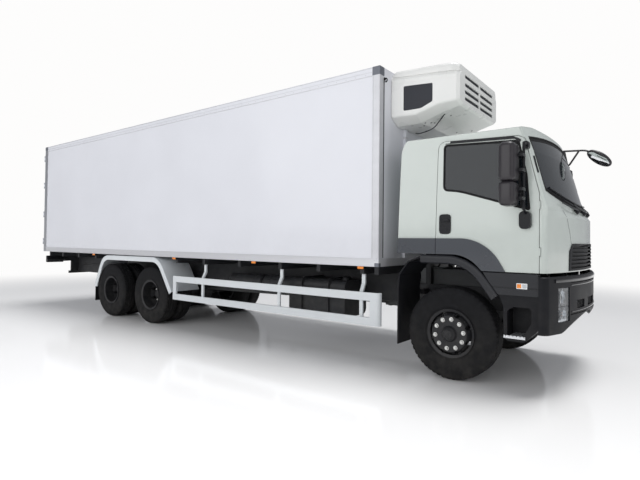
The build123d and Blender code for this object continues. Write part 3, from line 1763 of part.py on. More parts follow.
def mirror_head(side, low, high):
    """One mirror: a rounded case with a shallow recess for its glass in the rear face."""
    middle = (ahead(mirror_middle_ahead), side * mirror_plane_y)
    with BuildPart() as head:
        with BuildSketch(Plane.XY.offset(low)):
            with Locations(middle):
                RectangleRounded(mirror_depth, mirror_width, mirror_corner)
        extrude(amount=high - low)
        fillet(edges().filter_by(Axis.Z, reverse=True), mirror_edge)
        rear_face = middle[0] - mirror_depth / 2
        block(
            (rear_face - overrun, rear_face + mirror_recess),
            (middle[1] - mirror_width / 2 + mirror_corner, middle[1] + mirror_width / 2 - mirror_corner),
            (low + mirror_edge + mirror_rim, high - mirror_edge - mirror_rim),
            mode=Mode.SUBTRACT,
        )
    return head.part


def make_mirrors(side):
    """A door's two mirrors on a bowed tube, the blocks that carry the tube, and the door handle."""
    arm_x = ahead(mirror_arm_ahead)
    near, far = side * mirror_arm_near, side * mirror_arm_y
    with BuildPart() as mirrors:
        tube(
            (
                (arm_x, near, mirror_arm_low),
                (arm_x, far, mirror_arm_low_bend),
                (arm_x, far, mirror_arm_high),
                (arm_x, near, mirror_arm_high),
            ),
            mirror_arm_radius,
        )
        door_block(side, mirror_base_low, mirror_corner)
        door_block(side, mirror_base_high, mirror_edge)
        for low, high in mirror_heads:
            add(mirror_head(side, low, high))
            for share in (mirror_clamp_share, 1 - mirror_clamp_share):
                clamp_z = low + share * (high - low)
                block(
                    (ahead(mirror_middle_ahead), arm_x + mirror_arm_radius),
                    (far - side * mirror_arm_radius, far + side * 2 * mirror_corner),
                    (clamp_z - mirror_clamp, clamp_z + mirror_clamp),
                )
        door_block(side, handle_plate, handle_plate_round)
        door_block(side, handle_bar, mirror_clamp)
        add(trim_limit, mode=Mode.SUBTRACT)
    return mirrors.part


def make_door(side, space):
    """The pieces of one door: its panel with the hinge barrels, its trim and its window."""
    with BuildPart() as panel:
        add(cab_skin & door_core & space)
        add(window_zone, mode=Mode.SUBTRACT)
        add(band_zone, mode=Mode.SUBTRACT)
        add(door_barrels(side, door_barrel_radius, door_barrel_height) - cab_inner)
    with BuildPart() as trim:
        add(band_skin & door_core & space & band_zone)
        add(visor_skin & space)
        add(make_mirrors(side))
    with BuildPart() as window:
        add(glass_skin & window_core & space)
    return panel, trim, window


trim_limit = cab_solid(-seat_gap)
visor_skin = (band_outer - trim_limit) & side_tool(visor_outline)
window_core = side_tool(door_window, seat_gap)
for side_name, side in SIDES:
    space = right_space if side < 0 else left_space
    panel, band, window = make_door(side, space)
    keep(f"door_{side_name}_panel", panel)
    keep(f"door_{side_name}_trim", band)
    keep(f"door_{side_name}_window", window)

# Under mirror on a bowed bar at the left front corner of the roof

under_mirror_y = 1080.0
under_mirror_bar = 14.0
under_mirror_edge = 24.0
# the bar, and the two struts that meet on the pillar: ahead of the front axle, height
under_bar_line = ((640.0, 2780.0), (716.0, 2888.0), (1064.0, 2870.0), (1190.0, 2776.0))
under_strut_line = ((781.0, 2884.0), (826.0, 2650.0), (970.0, 2875.0))

with BuildPart() as under_mirror:
    head_plane = Plane(
        origin=(ahead(mirror_head_ahead), under_mirror_y, mirror_head_height),
        x_dir=(cos(radians(mirror_head_tilt)), 0, -sin(radians(mirror_head_tilt))),
        z_dir=(sin(radians(mirror_head_tilt)), 0, cos(radians(mirror_head_tilt))),
    )
    with BuildSketch(head_plane.offset(-mirror_head_thickness / 2)):
        RectangleRounded(mirror_head_length, mirror_head_width, mirror_head_width / 3)
    extrude(amount=mirror_head_thickness)
    fillet(edges(), under_mirror_edge)
    for line in (under_bar_line, under_strut_line):
        tube([(ahead(x), under_mirror_y, z) for x, z in line], under_mirror_bar)
    add(trim_limit, mode=Mode.SUBTRACT)
keep("under_mirror", under_mirror)

# Cooling unit on the upper front wall: a housing that narrows towards its louvred face

# ahead of the front axle, half width, lower crease, underside half width, underside, top
unit_sections = (
    (-892.0, 950.0, 3190.0, 780.0, 3092.0, 3755.0),
    (-583.0, 875.0, 3201.0, 700.0, 3120.0, 3752.0),
    (-292.0, 815.0, 3311.0, 650.0, 3240.0, 3745.0),
    (-100.0, 755.0, 3336.0, 628.0, 3289.0, 3737.0),
    (-65.0, 718.0, 3352.0, 604.0, 3312.0, 3708.0),
)
unit_top_round = 90.0
unit_crease_round = 40.0
unit_slot_near = 20.0
unit_slot_far = 550.0
unit_slot_tops = (3695.0, 3590.0, 3500.0, 3415.0)
unit_slot_height = 45.0
unit_slot_depth = 60.0

with BuildPart() as fridge_housing:
    sections = []
    for distance, half, crease, low_half, low, top in unit_sections:
        right_half = (
            (-low_half, low, unit_crease_round),
            (-half, crease, unit_crease_round),
            (-half, top, unit_top_round),
        )
        left_half = [(-y, z, rounding) for y, z, rounding in reversed(right_half)]
        with BuildSketch(Plane.YZ.offset(ahead(distance))) as section:
            add(rounded_outline(list(right_half) + left_half))
        sections.append(section.sketch)
    loft(sections=sections, ruled=True)
    unit_face = ahead(unit_sections[-1][0])
    with BuildSketch(Plane.YZ.offset(unit_face - unit_slot_depth)) as unit_slots:
        for top in unit_slot_tops:
            slot_middle = (unit_slot_near + unit_slot_far) / 2
            with Locations(*[(side * slot_middle, top - unit_slot_height / 2) for _, side in SIDES]):
                SlotOverall(unit_slot_far - unit_slot_near, unit_slot_height)
    extrude(unit_slots.sketch, amount=unit_slot_depth + overrun, mode=Mode.SUBTRACT)
keep("fridge_housing", fridge_housing)

# Tail lamps, number-plate beam and marker lamps

tail_lamp_near = 810.0
tail_lamp_far = 1200.0
tail_lamp_low = 985.0
tail_lamp_high = 1148.0
tail_lamp_behind = 12.0
tail_lamp_depth = 90.0
tail_lamp_round = 20.0
tail_arm_depth = 30.0
rear_beam_half = 600.0
rear_beam_low = 700.0
rear_beam_high = 1010.0
rear_lip_half = 650.0
rear_lip_high = 760.0
rear_lip_depth = 60.0
tail_arm_high = 1060.0
coupling_height = 875.0
coupling_pitch_y = 160.0
coupling_pitch_z = 100.0
coupling_hole_radius = 10.5
marker_stations = (-1174.0, -3100.0, -5090.0, -7900.0)
marker_length = 100.0
marker_height = 40.0
marker_y = 1190.0
marker_depth = 36.0

with BuildPart() as rear_beam:
    beam_x = (body_rear, body_rear + rail_rear_behind)
    block(beam_x, (-tail_lamp_near, tail_lamp_near), (rear_beam_high, bearer_bottom))
    block(beam_x, (-rear_beam_half, rear_beam_half), (rear_beam_low, rear_beam_high))
    block(
        (body_rear, body_rear + rear_lip_depth),
        (-rear_lip_half, rear_lip_half),
        (rear_beam_low, rear_lip_high),
    )
    block(
        (body_rear + rail_rear_behind, body_rear + rear_lip_depth),
        (-rail_outer - rail_web, rail_outer + rail_web),
        (rear_beam_low, rear_lip_high),
        mode=Mode.SUBTRACT,
    )
    # The arms that carry the tail lamps
    arm_x = (body_rear + tail_lamp_depth + seat_gap, body_rear + tail_lamp_depth + seat_gap + tail_arm_depth)
    for side_name, side in SIDES:
        arm_y = (side * (tail_lamp_near - 2 * overrun), side * tail_lamp_far)
        block(arm_x, arm_y, (rear_beam_high, tail_arm_high))
        block(
            (body_rear, arm_x[1]),
            (side * (tail_lamp_near - 2 * overrun), side * (tail_lamp_near - overrun)),
            (rear_beam_high, tail_arm_high),
        )
    # The bolt pattern of a drawbar coupling
    for side_name, side in SIDES:
        for up in (-1, 1):
            hole = (body_rear, side * coupling_pitch_y / 2, coupling_height + up * coupling_pitch_z / 2)
            with Locations(Location(hole, (0, 90, 0))):
                Cylinder(coupling_hole_radius, 4 * rail_rear_behind, mode=Mode.SUBTRACT)
keep("rear_beam", rear_beam)

with BuildPart() as tail_lamps:
    for side_name, side in SIDES:
        with BuildSketch(Plane.YZ.offset(body_rear + tail_lamp_behind)) as lamp_face:
            lamp_middle = (side * (tail_lamp_near + tail_lamp_far) / 2, (tail_lamp_low + tail_lamp_high) / 2)
            with Locations(lamp_middle):
                RectangleRounded(
                    tail_lamp_far - tail_lamp_near - 2 * seat_gap,
                    tail_lamp_high - tail_lamp_low,
                    tail_lamp_round,
                )
        extrude(lamp_face.sketch, amount=tail_lamp_depth - tail_lamp_behind)
        # The marker lamps hang below the floor's edge
        for station in marker_stations:
            block(
                (ahead(station) - marker_length / 2, ahead(station) + marker_length / 2),
                (side * marker_y, side * (marker_y + marker_depth)),
                (body_bottom - marker_height, body_bottom),
            )
keep("tail_lamps", tail_lamps)

os.makedirs("parts", exist_ok=True)
for name, part in PARTS.items():
    part.label = name
    export_step(part, f"parts/{name}.step")
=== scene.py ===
"""Looks of a refrigerated truck: a cab-over lorry with a long box body and a nose-mounted cooling unit.

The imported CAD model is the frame. +X is forward, +Y is the truck's left, +Z is up, in metres.
Places on the truck are written as (ahead of the front axle, left of centre, height) in millimetres.
"""

import math

import bmesh
import bpy
import numpy as np
from bpy.props import FloatProperty, FloatVectorProperty, IntProperty, PointerProperty
from mathutils import Matrix, Vector


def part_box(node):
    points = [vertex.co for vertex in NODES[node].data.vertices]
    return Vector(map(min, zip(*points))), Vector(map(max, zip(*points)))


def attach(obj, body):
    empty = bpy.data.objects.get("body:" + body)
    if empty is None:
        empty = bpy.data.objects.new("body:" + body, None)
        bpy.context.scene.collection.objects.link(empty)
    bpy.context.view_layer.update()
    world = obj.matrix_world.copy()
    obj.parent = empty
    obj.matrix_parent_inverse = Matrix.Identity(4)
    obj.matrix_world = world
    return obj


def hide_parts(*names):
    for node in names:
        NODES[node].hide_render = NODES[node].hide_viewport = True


bl_info = {
    "name": "Refrigerated truck",
    "version": (1, 0, 0),
    "blender": (4, 5, 0),
    "location": "View3D > Sidebar > Truck",
    "description": "Tyres, glass, lamps, fittings and finishes of a refrigerated truck",
    "category": "Object",
}

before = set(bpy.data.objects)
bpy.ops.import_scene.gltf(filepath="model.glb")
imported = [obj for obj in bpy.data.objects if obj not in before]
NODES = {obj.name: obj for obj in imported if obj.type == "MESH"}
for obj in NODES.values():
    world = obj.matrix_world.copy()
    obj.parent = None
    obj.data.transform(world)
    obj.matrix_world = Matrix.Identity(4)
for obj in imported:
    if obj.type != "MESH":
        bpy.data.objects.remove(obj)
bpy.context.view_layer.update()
AXLE = (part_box("front_wheel_right_rim")[0].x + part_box("front_wheel_right_rim")[1].x) / 2
SIDES = (("right", -1.0), ("left", 1.0))
BOTH, AS_GIVEN = (1.0, -1.0), (1.0,)
AHEAD, LEFT, UP = (1, 0, 0), (0, 1, 0), (0, 0, 1)
REAR_STATIONS = (("1", -5825), ("2", -7195))
WHEEL_HEIGHT = 530
# body, the end of its tyre's name, side, station, the tyres' middles, disc, hub, how far the nuts reach
WHEELS = [wheel for name, side in SIDES for wheel in (
    (f"front_wheel_{name}", "tyre", side, 0.0, (1030,), 1190, 1235, 1.0),
    *((f"rear_wheel_{number}_{name}", "tyres", side, x, (765, 1085), 939, 1050, 1.5)
      for number, x in REAR_STATIONS))]
BODY_REAR, BODY_FRONT, BODY_SIDE = -10113, -892, 1250
DOOR_FACE, UNIT_FACE = -10243, -65.0


def at(places):
    """Places in millimetres turned into points of the frame in metres."""
    return np.asarray(places, float) / 1000 + np.array([AXLE, 0.0, 0.0])


# Sizes and colours that a user would change


def length(name, text, default):
    """A length in metres for the panel."""
    return FloatProperty(name=name, description=text, default=default, min=0.0, unit="LENGTH")


def colour(name, text, default):
    """A colour for the panel."""
    return FloatVectorProperty(name=name, description=text, default=default, min=0.0, max=1.0, size=3,
                               subtype="COLOR")


class TruckSizes(bpy.types.PropertyGroup):
    tread_depth: length("Tread depth", "Depth of the grooves in every tyre", 0.013)
    groove_width: length("Groove width", "Width of the grooves that run round a tyre", 0.011)
    tread_blocks: IntProperty(name="Tread blocks", description="Shoulder blocks round one tyre",
                              default=54, min=12)
    nut_circle: length("Nut circle", "Diameter of the circle of wheel nuts", 0.335)
    nut_width: length("Nut width", "Width of a wheel nut's cap", 0.036)
    rivet_pitch: length("Rivet pitch", "Distance between the rivets of the body's rails", 0.15)
    rivet_radius: length("Rivet radius", "Radius of a rivet's head", 0.007)
    wiper_blade: length("Wiper blade", "Length of one wiper blade", 0.62)
    seal_width: length("Seal width", "Width of the rubber seal round each pane", 0.016)
    lens_radius: length("Lamp radius", "Radius of a headlamp's reflector", 0.085)


class TruckColours(bpy.types.PropertyGroup):
    cab: colour("Cab", "Paint of the cab", (0.515, 0.56, 0.53))
    body: colour("Body", "Gel coat of the insulated body", (0.69, 0.70, 0.745))
    band: colour("Band", "Paint of the dark band above the wheel arch", (0.033, 0.0385, 0.049))
    trim: colour("Trim", "Moulded bumper, steps and mudguards", (0.009, 0.0095, 0.012))
    rail: colour("Rails", "Aluminium edging of the body", (0.56, 0.565, 0.59))
    chassis: colour("Chassis", "Paint of the frame and axles", (0.020, 0.021, 0.024))
    guard: colour("Guards", "Paint of the side guards and rear mudguards", (0.64, 0.67, 0.69))
    unit: colour("Cooling unit", "Housing of the cooling unit", (0.745, 0.75, 0.735))
    rubber: colour("Rubber", "Tyres, seals and flaps", (0.011, 0.0112, 0.0125))
    glass: colour("Glass", "Tint of the cab's glass", (0.019, 0.027, 0.034))
    rim: colour("Rims", "Paint of the wheels", (0.013, 0.0135, 0.016))
    amber: colour("Amber", "Indicator and marker lenses", (0.85, 0.25, 0.02))
    red: colour("Red", "Tail lamp lenses", (0.45, 0.012, 0.012))


# Finishes

COAT_ROUGHNESS, REFRACTION = 0.08, 1.45
DUST = (0.21, 0.195, 0.17, 1.0)
DUST_FOOT = 0.15

# Each finish's shade, or the property that holds it, its roughness, the spread of its shade, its grain and
# bump, and what differs from finish's defaults
FINISHES = {
    "cab_paint": ("cab", 0.22, 0.02, 900, 0.02, dict(coat=0.7, dust=0.18, dust_top=1.9)),
    "band_paint": ("band", 0.3, 0.03, 900, 0.02, dict(coat=0.5, dust=0.05)),
    "arch_moulding": ((0.014, 0.015, 0.019), 0.4, 0.05, 1100, 0.1, dict(dust=0.06, shine=0.4)),
    "body_gelcoat": ("body", 0.34, 0.018, 60, 0.05,
                     dict(coat=0.3, patch=1.1, dust=0.1, dust_top=1.8, lift=0.001)),
    "rail_aluminium": ("rail", 0.4, 0.1, 240, 0.06, dict(metal=0.35, stretch=(0.05, 1.0, 1.0), dust=0.12)),
    "corner_steel": ((0.15, 0.16, 0.185), 0.45, 0.1, 300, 0.04, dict(metal=0.4)),
    "portal_steel": ((0.3, 0.31, 0.34), 0.38, 0.1, 300, 0.04,
                     dict(metal=0.7, stretch=(1.0, 1.0, 0.08), dust=0.15)),
    "moulded_trim": ("trim", 0.46, 0.12, 1400, 0.25,
                     dict(pattern="cells", dust=0.08, lift=0.0004, shine=0.16)),
    "gloss_trim": ((0.01, 0.0105, 0.013), 0.3, 0.1, 700, 0.05, dict(shine=0.25)),
    "mirror_case": ((0.02, 0.0175, 0.021), 0.4, 0.1, 1200, 0.12,
                    dict(coat=0.1, pattern="cells", lift=0.0003)),
    "brow_gloss": ((0.012, 0.012, 0.014), 0.14, 0.05, 700, 0.02, dict(coat=0.4)),
    "chassis_paint": ("chassis", 0.5, 0.2, 180, 0.12, dict(dust=0.14, shine=0.3)),
    "cast_iron": ((0.11, 0.115, 0.12), 0.7, 0.2, 420, 0.4, dict(metal=0.3, dust=0.3)),
    "tank_aluminium": ((0.5, 0.51, 0.53), 0.34, 0.08, 260, 0.08,
                       dict(metal=0.85, stretch=(0.06, 1.0, 1.0), dust=0.2)),
    "step_aluminium": ((0.62, 0.63, 0.65), 0.36, 0.08, 300, 0.1, dict(metal=0.7, stretch=(1.0, 0.08, 1.0))),
    "guard_paint": ("guard", 0.38, 0.015, 500, 0.03, dict(coat=0.2, dust=0.07, dust_top=1.2)),
    "unit_housing": ("unit", 0.3, 0.02, 90, 0.05, dict(coat=0.35, lift=0.001)),
    "unit_dark": ((0.03, 0.032, 0.04), 0.5, 0.1, 600, 0.1, dict(shine=0.3)),
    "tyre_rubber": ("rubber", 0.72, 0.2, 900, 0.25, dict(patch=14, dust=0.08, shine=0.12, dust_top=0.9)),
    "seal_rubber": ((0.01, 0.01, 0.011), 0.6, 0.1, 900, 0.1, dict(shine=0.25)),
    "rim_paint": ("rim", 0.45, 0.15, 300, 0.06, dict(patch=20, dust=0.08, shine=0.35)),
    "nut_steel": ((0.68, 0.68, 0.66), 0.34, 0.1, 500, 0.04, dict(metal=0.45, patch=30)),
    "pane_glass": ("glass", 0.05, 0.05, 12, 0.004, dict(see_through=0.55, wear=0.01)),
    "lens_clear": ((0.62, 0.65, 0.68), 0.06, 0.02, 55, 0.12,
                   dict(pattern="ribs", see_through=0.9, wear=0.02)),
    "lens_amber": ("amber", 0.18, 0.05, 60, 0.3, dict(pattern="ribs", coat=0.5)),
    "lens_red": ("red", 0.18, 0.05, 60, 0.3, dict(pattern="cells", coat=0.5)),
    "reflector": ((0.86, 0.87, 0.88), 0.1, 0.02, 80, 0.05, dict(metal=1.0)),
    "mirror_glass": ((0.8, 0.82, 0.84), 0.03, 0.01, 8, 0.002, dict(metal=1.0, wear=0.01)),
    "seat_cloth": ((0.055, 0.057, 0.066), 0.85, 0.12, 220, 0.5, dict(sheen=0.4, pattern="weave")),
    "dash_vinyl": ((0.045, 0.046, 0.05), 0.6, 0.08, 800, 0.2, dict(pattern="cells")),
    "floor_alloy": ((0.46, 0.47, 0.49), 0.45, 0.1, 12, 0.5, dict(metal=0.7, pattern="ribs", lift=0.004)),
    "cable_sheath": ((0.014, 0.014, 0.015), 0.5, 0.1, 500, 0.1, {}),
}


def feed(tree, node, inputs):
    """Gives each named or numbered input of a node its value, or the output that it reads."""
    for key, value in inputs.items():
        if isinstance(value, bpy.types.NodeSocket):
            tree.links.new(value, node.inputs[key])
        else:
            node.inputs[key].default_value = value


def add_node(tree, kind, inputs, output=0, **settings):
    """Adds a shader node with its settings and inputs, and returns one of its outputs."""
    node = tree.nodes.new("ShaderNode" + kind)
    for name, value in settings.items():
        setattr(node, name, value)
    feed(tree, node, inputs)
    return node.outputs[output]


def finish(name, shade, rough, spread, grain, bump, metal=0.0, coat=0.0, patch=2.5, stretch=(1.0, 1.0, 1.0),
           dust=0.0, dust_top=1.3, see_through=0.0, wear=0.05, sheen=0.0, pattern=None, lift=0.0006,
           shine=0.5):
    """A finish: its shade drifts over broad patches, dust thickens towards the ground, roughness wanders,
    and fine grain, or a pattern of ribs or cells, raises the surface."""
    material = bpy.data.materials.new(name)
    material.use_nodes = True
    tree = material.node_tree
    place = add_node(tree, "TexCoord", {}, "Object")
    turn = add_node(tree, "Mapping", {"Vector": place, "Scale": stretch}, "Vector")

    def noise(scale, detail, vector):
        return add_node(tree, "TexNoise", {"Scale": scale, "Detail": detail, "Vector": vector}, "Fac")

    def wave(direction):
        return add_node(tree, "TexWave", {"Scale": grain, "Vector": turn}, "Fac", bands_direction=direction)

    def mix(factor, first, second):
        return add_node(tree, "Mix", {"Factor": factor, 6: first, 7: second}, 2, data_type="RGBA")

    def span(value, low, high, out_low, out_high):
        return add_node(tree, "MapRange", {"From Min": low, "From Max": high, "To Min": out_low,
                                           "To Max": out_high, "Value": value}, "Result")

    def product(first, second, clamp):
        return add_node(tree, "Math", {0: first, 1: second}, operation="MULTIPLY", use_clamp=clamp)

    broad = noise(patch, 4.0, turn)
    low = (*(max(0.0, c * (1 - spread)) for c in shade), 1.0)
    high = (*(min(1.0, c * (1 + spread)) for c in shade), 1.0)
    tone = mix(span(broad, 0.3, 0.7, 0.0, 1.0), low, high)
    if dust:
        level = add_node(tree, "SeparateXYZ", {0: place}, "Z")
        cloud = span(noise(9.0, 6.0, place), 0.35, 0.7, 0.25, 1.4)
        tone = mix(product(span(level, DUST_FOOT, dust_top, dust, 0.0), cloud, True), tone, DUST)
    if pattern == "ribs":
        height = wave("Z")
    elif pattern == "cells":
        height = add_node(tree, "TexVoronoi", {"Scale": grain, "Vector": turn}, "Distance")
    elif pattern == "weave":
        height = product(wave("X"), wave("Z"), False)
    else:
        height = noise(grain, 3.0, turn)
    feed(tree, tree.nodes["Principled BSDF"], {
        "Base Color": tone,
        "Roughness": span(broad, 0.3, 0.7, max(0.02, rough - wear), rough + wear),
        "Normal": add_node(tree, "Bump", {"Strength": bump, "Distance": lift, "Height": height}, "Normal"),
        "Metallic": metal, "Coat Weight": coat, "Coat Roughness": COAT_ROUGHNESS, "Sheen Weight": sheen,
        "Transmission Weight": see_through, "IOR": REFRACTION, "Specular IOR Level": shine,
    })


def look(name):
    """The finish of a name, made on its first use."""
    if name not in bpy.data.materials:
        shade, *numbers, options = FINISHES[name]
        if isinstance(shade, str):
            shade = getattr(bpy.context.scene.truck_colours, shade)
        finish(name, shade, *numbers, **options)
    return bpy.data.materials[name]


def linked(name, data):
    """A new object in the scene."""
    thing = bpy.data.objects.new(name, data)
    bpy.context.scene.collection.objects.link(thing)
    return thing


# Surfaces worked out with numpy


def joined(*axes):
    """Points from one number or array for each axis."""
    return np.stack(np.broadcast_arrays(*axes), -1)


def unit(vectors):
    """Vectors brought to a length of one."""
    return vectors / np.maximum(np.linalg.norm(vectors, axis=-1, keepdims=True), 1e-9)


def rounded(corners, radius, steps):
    """A closed outline with its corners rounded: each corner becomes a curve of second order that leaves one
    edge and meets the next at the radius from the corner, or at 0.45 of a short edge."""
    corners = np.asarray(corners, float)
    radius = np.broadcast_to(np.asarray(radius, float), len(corners))
    back, on = np.roll(corners, 1, 0) - corners, np.roll(corners, -1, 0) - corners
    back_size, on_size = np.linalg.norm(back, axis=1), np.linalg.norm(on, axis=1)
    cut = np.minimum(radius, 0.45 * np.minimum(back_size, on_size))
    start, end = corners + back * (cut / back_size)[:, None], corners + on * (cut / on_size)[:, None]
    t = np.linspace(0, 1, steps)[None, :, None]
    curve = (1 - t) ** 2 * start[:, None] + 2 * t * (1 - t) * corners[:, None] + t**2 * end[:, None]
    return curve.reshape(-1, 2)


def oblong(low, high, radius, steps):
    """A rectangle between two corners, with its own corners rounded."""
    (a, c), (b, d) = low, high
    return rounded([(a, c), (b, c), (b, d), (a, d)], radius, steps)


def rounded_line(points, radius):
    """An open line in the side view with its inner corners rounded as in rounded, as (ahead, 0, height)."""
    steps = 8
    line = np.vstack([points[0], rounded(points, radius, steps)[steps:-steps], points[-1]])
    return joined(line[:, 0], 0.0, line[:, 1])


def inset(outline, distance):
    """An outline moved inwards: every point goes along the mean normal of its two edges by the distance."""
    edge = np.roll(outline, -1, 0) - np.roll(outline, 1, 0)
    normal = unit(joined(-edge[:, 1], edge[:, 0]))
    x, y = outline.T
    area = (x * np.roll(y, -1) - y * np.roll(x, -1)).sum()
    return outline + normal * (distance if area > 0 else -distance)


def slab(outline, low, high, edge):
    """A flat piece: its outline carried from low to high in the third axis, drawn in at both faces."""
    drawn = inset(outline, edge)
    rows = ((drawn, low), (outline, low + edge), (outline, high - edge), (drawn, high))
    return np.stack([joined(*flat.T, level) for flat, level in rows])


def laid(points, origin, *axes):
    """Local (first, second, third) coordinates turned into places on the truck."""
    return points @ np.array(axes, float) + np.asarray(origin, float)


def block(low, high, soft, axis):
    """A box between two corners with rounded edges: a rounded rectangle carried along one axis."""
    low, high = np.minimum(low, high).astype(float), np.maximum(low, high).astype(float)
    others = [k for k in range(3) if k != axis]
    edge = min(soft / 2, (high[axis] - low[axis]) / 3)
    solid = slab(oblong(low[others], high[others], soft, 4), low[axis], high[axis], edge)
    points = np.empty_like(solid)
    points[..., [*others, axis]] = solid
    return points


def turned(profile, centre, axis, steps=32, phase=0.0):
    """A profile of (along, radius) pairs carried round an axis: each pair becomes a circle of that radius."""
    profile = np.asarray(profile, float)
    axis = unit(np.asarray(axis, float))
    first = unit(np.cross(axis, UP if abs(axis[2]) < 0.9 else AHEAD))
    second = np.cross(axis, first)
    angle = np.linspace(0, 2 * math.pi, steps, endpoint=False) + phase
    ring = np.cos(angle)[:, None] * first + np.sin(angle)[:, None] * second
    return np.asarray(centre, float) + profile[:, :1, None] * axis + profile[:, 1:, None] * ring[None]


def eased(points):
    """A smooth path through a row of points: on each run the cubic that passes both ends with the slope of
    their neighbours' chord."""
    points = np.asarray(points, float)
    padded = np.vstack([2 * points[0] - points[1], points, 2 * points[-1] - points[-2]])
    a, b, c, d = (padded[k : len(padded) - 3 + k, None] for k in range(4))
    t = np.linspace(0, 1, 8, endpoint=False)[None, :, None]
    curve = 0.5 * (2 * b + (c - a) * t + (2 * a - 5 * b + 4 * c - d) * t**2 + (3 * b - a - 3 * c + d) * t**3)
    return np.vstack([curve.reshape(-1, 3), points[-1:]])


def swept(path, profile, up, closed):
    """A closed profile of (side, up) pairs carried along a path: at each point the profile stands square to
    the path's slope, its second axis as near to up as that allows."""
    path = np.asarray(path, float)
    slope = unit(np.roll(path, -1, 0) - np.roll(path, 1, 0) if closed else np.gradient(path, axis=0))
    side = unit(np.cross(slope, up))
    lift = np.cross(side, slope)
    return path[:, None] + profile[None, :, :1] * side[:, None] + profile[None, :, 1:] * lift[:, None]


def circle(number, radius, phase=0.0):
    """Pairs evenly spaced on a circle."""
    angle = np.arange(number) * 2 * math.pi / number + phase
    return joined(np.cos(angle), np.sin(angle)) * radius


def strip(width, thickness, soft=1.0):
    """The rounded section of a flat strip as (side, up) pairs."""
    half = np.array([width, thickness]) / 2
    return oblong(-half, half, soft, 3)


MERGE_DISTANCE, SHARP_ANGLE = 1e-6, 38  # in metres and in degrees


class Skin:
    """Gathers grids of points into one mesh. Every grid is a surface of two parameters, laid on the truck's
    left as given, mirrored to its right, or both."""

    def __init__(self, sides=AS_GIVEN):
        self.sides = sides
        self.points, self.quads, self.fans, self.marks, self.fan_marks = [], [], [], [], []
        self.count = 0

    def grid(self, points, close_rows=False, mark=0):
        """Adds rows by columns of points. Each row is a ring. The last row joins the first, or else a fan
        from its middle closes each end."""
        points = np.asarray(points, float)
        rows, columns = points.shape[:2]
        for side in self.sides:
            placed = points * [1.0, side, 1.0]
            index = np.arange(rows * columns).reshape(rows, columns) + self.count
            below, beside = np.roll(index, -1, 0), np.roll(index, -1, 1)
            quads = np.stack([index, beside, np.roll(below, -1, 1), below], -1)
            quads = quads[: rows if close_rows else rows - 1]
            self.points.append(placed.reshape(-1, 3))
            self.quads.append(quads.reshape(-1, 4))
            self.marks.append(np.full(quads.size // 4, mark))
            self.count += rows * columns
            for row in () if close_rows else (0, -1):
                self.points.append(placed[row].mean(0)[None])
                self.fans.append(joined(index[row], np.roll(index[row], -1), self.count))
                self.fan_marks.append(np.full(columns, mark))
                self.count += 1

    def box(self, low, high, soft, axis, mark=0):
        """Adds a block."""
        self.grid(block(low, high, soft, axis), mark=mark)

    def spin(self, profile, centre, axis, steps=32, close_rows=False, mark=0):
        """Adds a turned piece."""
        self.grid(turned(profile, centre, axis, steps), close_rows, mark)

    def run(self, path, profile, up=UP, closed=False, mark=0):
        """Adds a swept piece."""
        self.grid(swept(path, profile, up, closed), closed, mark)

    def build(self, name, looks, body, slot, replaces=None, sharp=SHARP_ANGLE):
        """Makes the object, turns its faces outwards and lets it ride on a body."""
        mesh = bpy.data.meshes.new(name)
        faces = [face for part in self.quads + self.fans for face in part.tolist()]
        mesh.from_pydata(at(np.concatenate(self.points)).tolist(), [], faces)
        for finish_name in looks.split():
            mesh.materials.append(look(finish_name))
        marks = np.concatenate(self.marks + self.fan_marks).astype(np.int32)
        mesh.polygons.foreach_set("material_index", marks)
        shell = bmesh.new()
        shell.from_mesh(mesh)
        bmesh.ops.remove_doubles(shell, verts=shell.verts, dist=MERGE_DISTANCE)
        bmesh.ops.recalc_face_normals(shell, faces=shell.faces)
        shell.to_mesh(mesh)
        shell.free()
        mesh.polygons.foreach_set("use_smooth", np.ones(len(mesh.polygons), bool))
        mesh.set_sharp_from_angle(angle=math.radians(sharp))
        thing = linked(name, mesh)
        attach(thing, body)
        if replaces:
            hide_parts(replaces)


# The cab's own surfaces, which its fittings follow

# height, nose ahead of the front axle, half width, radius of the crown
CAB_LEVELS = np.array([
    (1200, 1218, 1200, 3500),
    (1850, 1218, 1200, 3500),
    (1940, 1150, 1200, 5600),
    (2090, 1104, 1198, 5600),
    (2541, 978, 1187, 5600),
    (2950, 830, 1170, 5600),
])
SCREEN_LOW, SCREEN_HIGH = (1085, 2118), (1068, 2700)
SCREEN_LOW_CENTRE, SCREEN_HIGH_CENTRE = 1945, 2765
DOOR_WINDOW = ((-75, 2692), (-75, 2160), (110, 2140), (715, 1951), (866, 1908), (836, 2280), (752, 2655))
DOOR_WINDOW_ROUNDINGS = (50, 60, 200, 60, 30, 1, 50)
BUMPER_NOSE, BUMPER_CROWN = 1255, 3500


def cab_front(y, z):
    """How far ahead the cab's front lies: at each level the nose less the drop of its crown, a circle's arc,
    and between two levels a share of each that changes evenly with the height."""
    place = np.interp(z, CAB_LEVELS[:, 0], np.arange(len(CAB_LEVELS)))
    ahead = 0.0
    for level, (_, nose, _, crown) in enumerate(CAB_LEVELS):
        share = np.clip(1 - np.abs(place - level), 0, 1)
        ahead = ahead + share * (nose - (crown - np.sqrt(crown**2 - np.square(y))))
    return ahead


def cab_side(z):
    """The cab's half width at a height."""
    return np.interp(z, CAB_LEVELS[:, 0], CAB_LEVELS[:, 2])


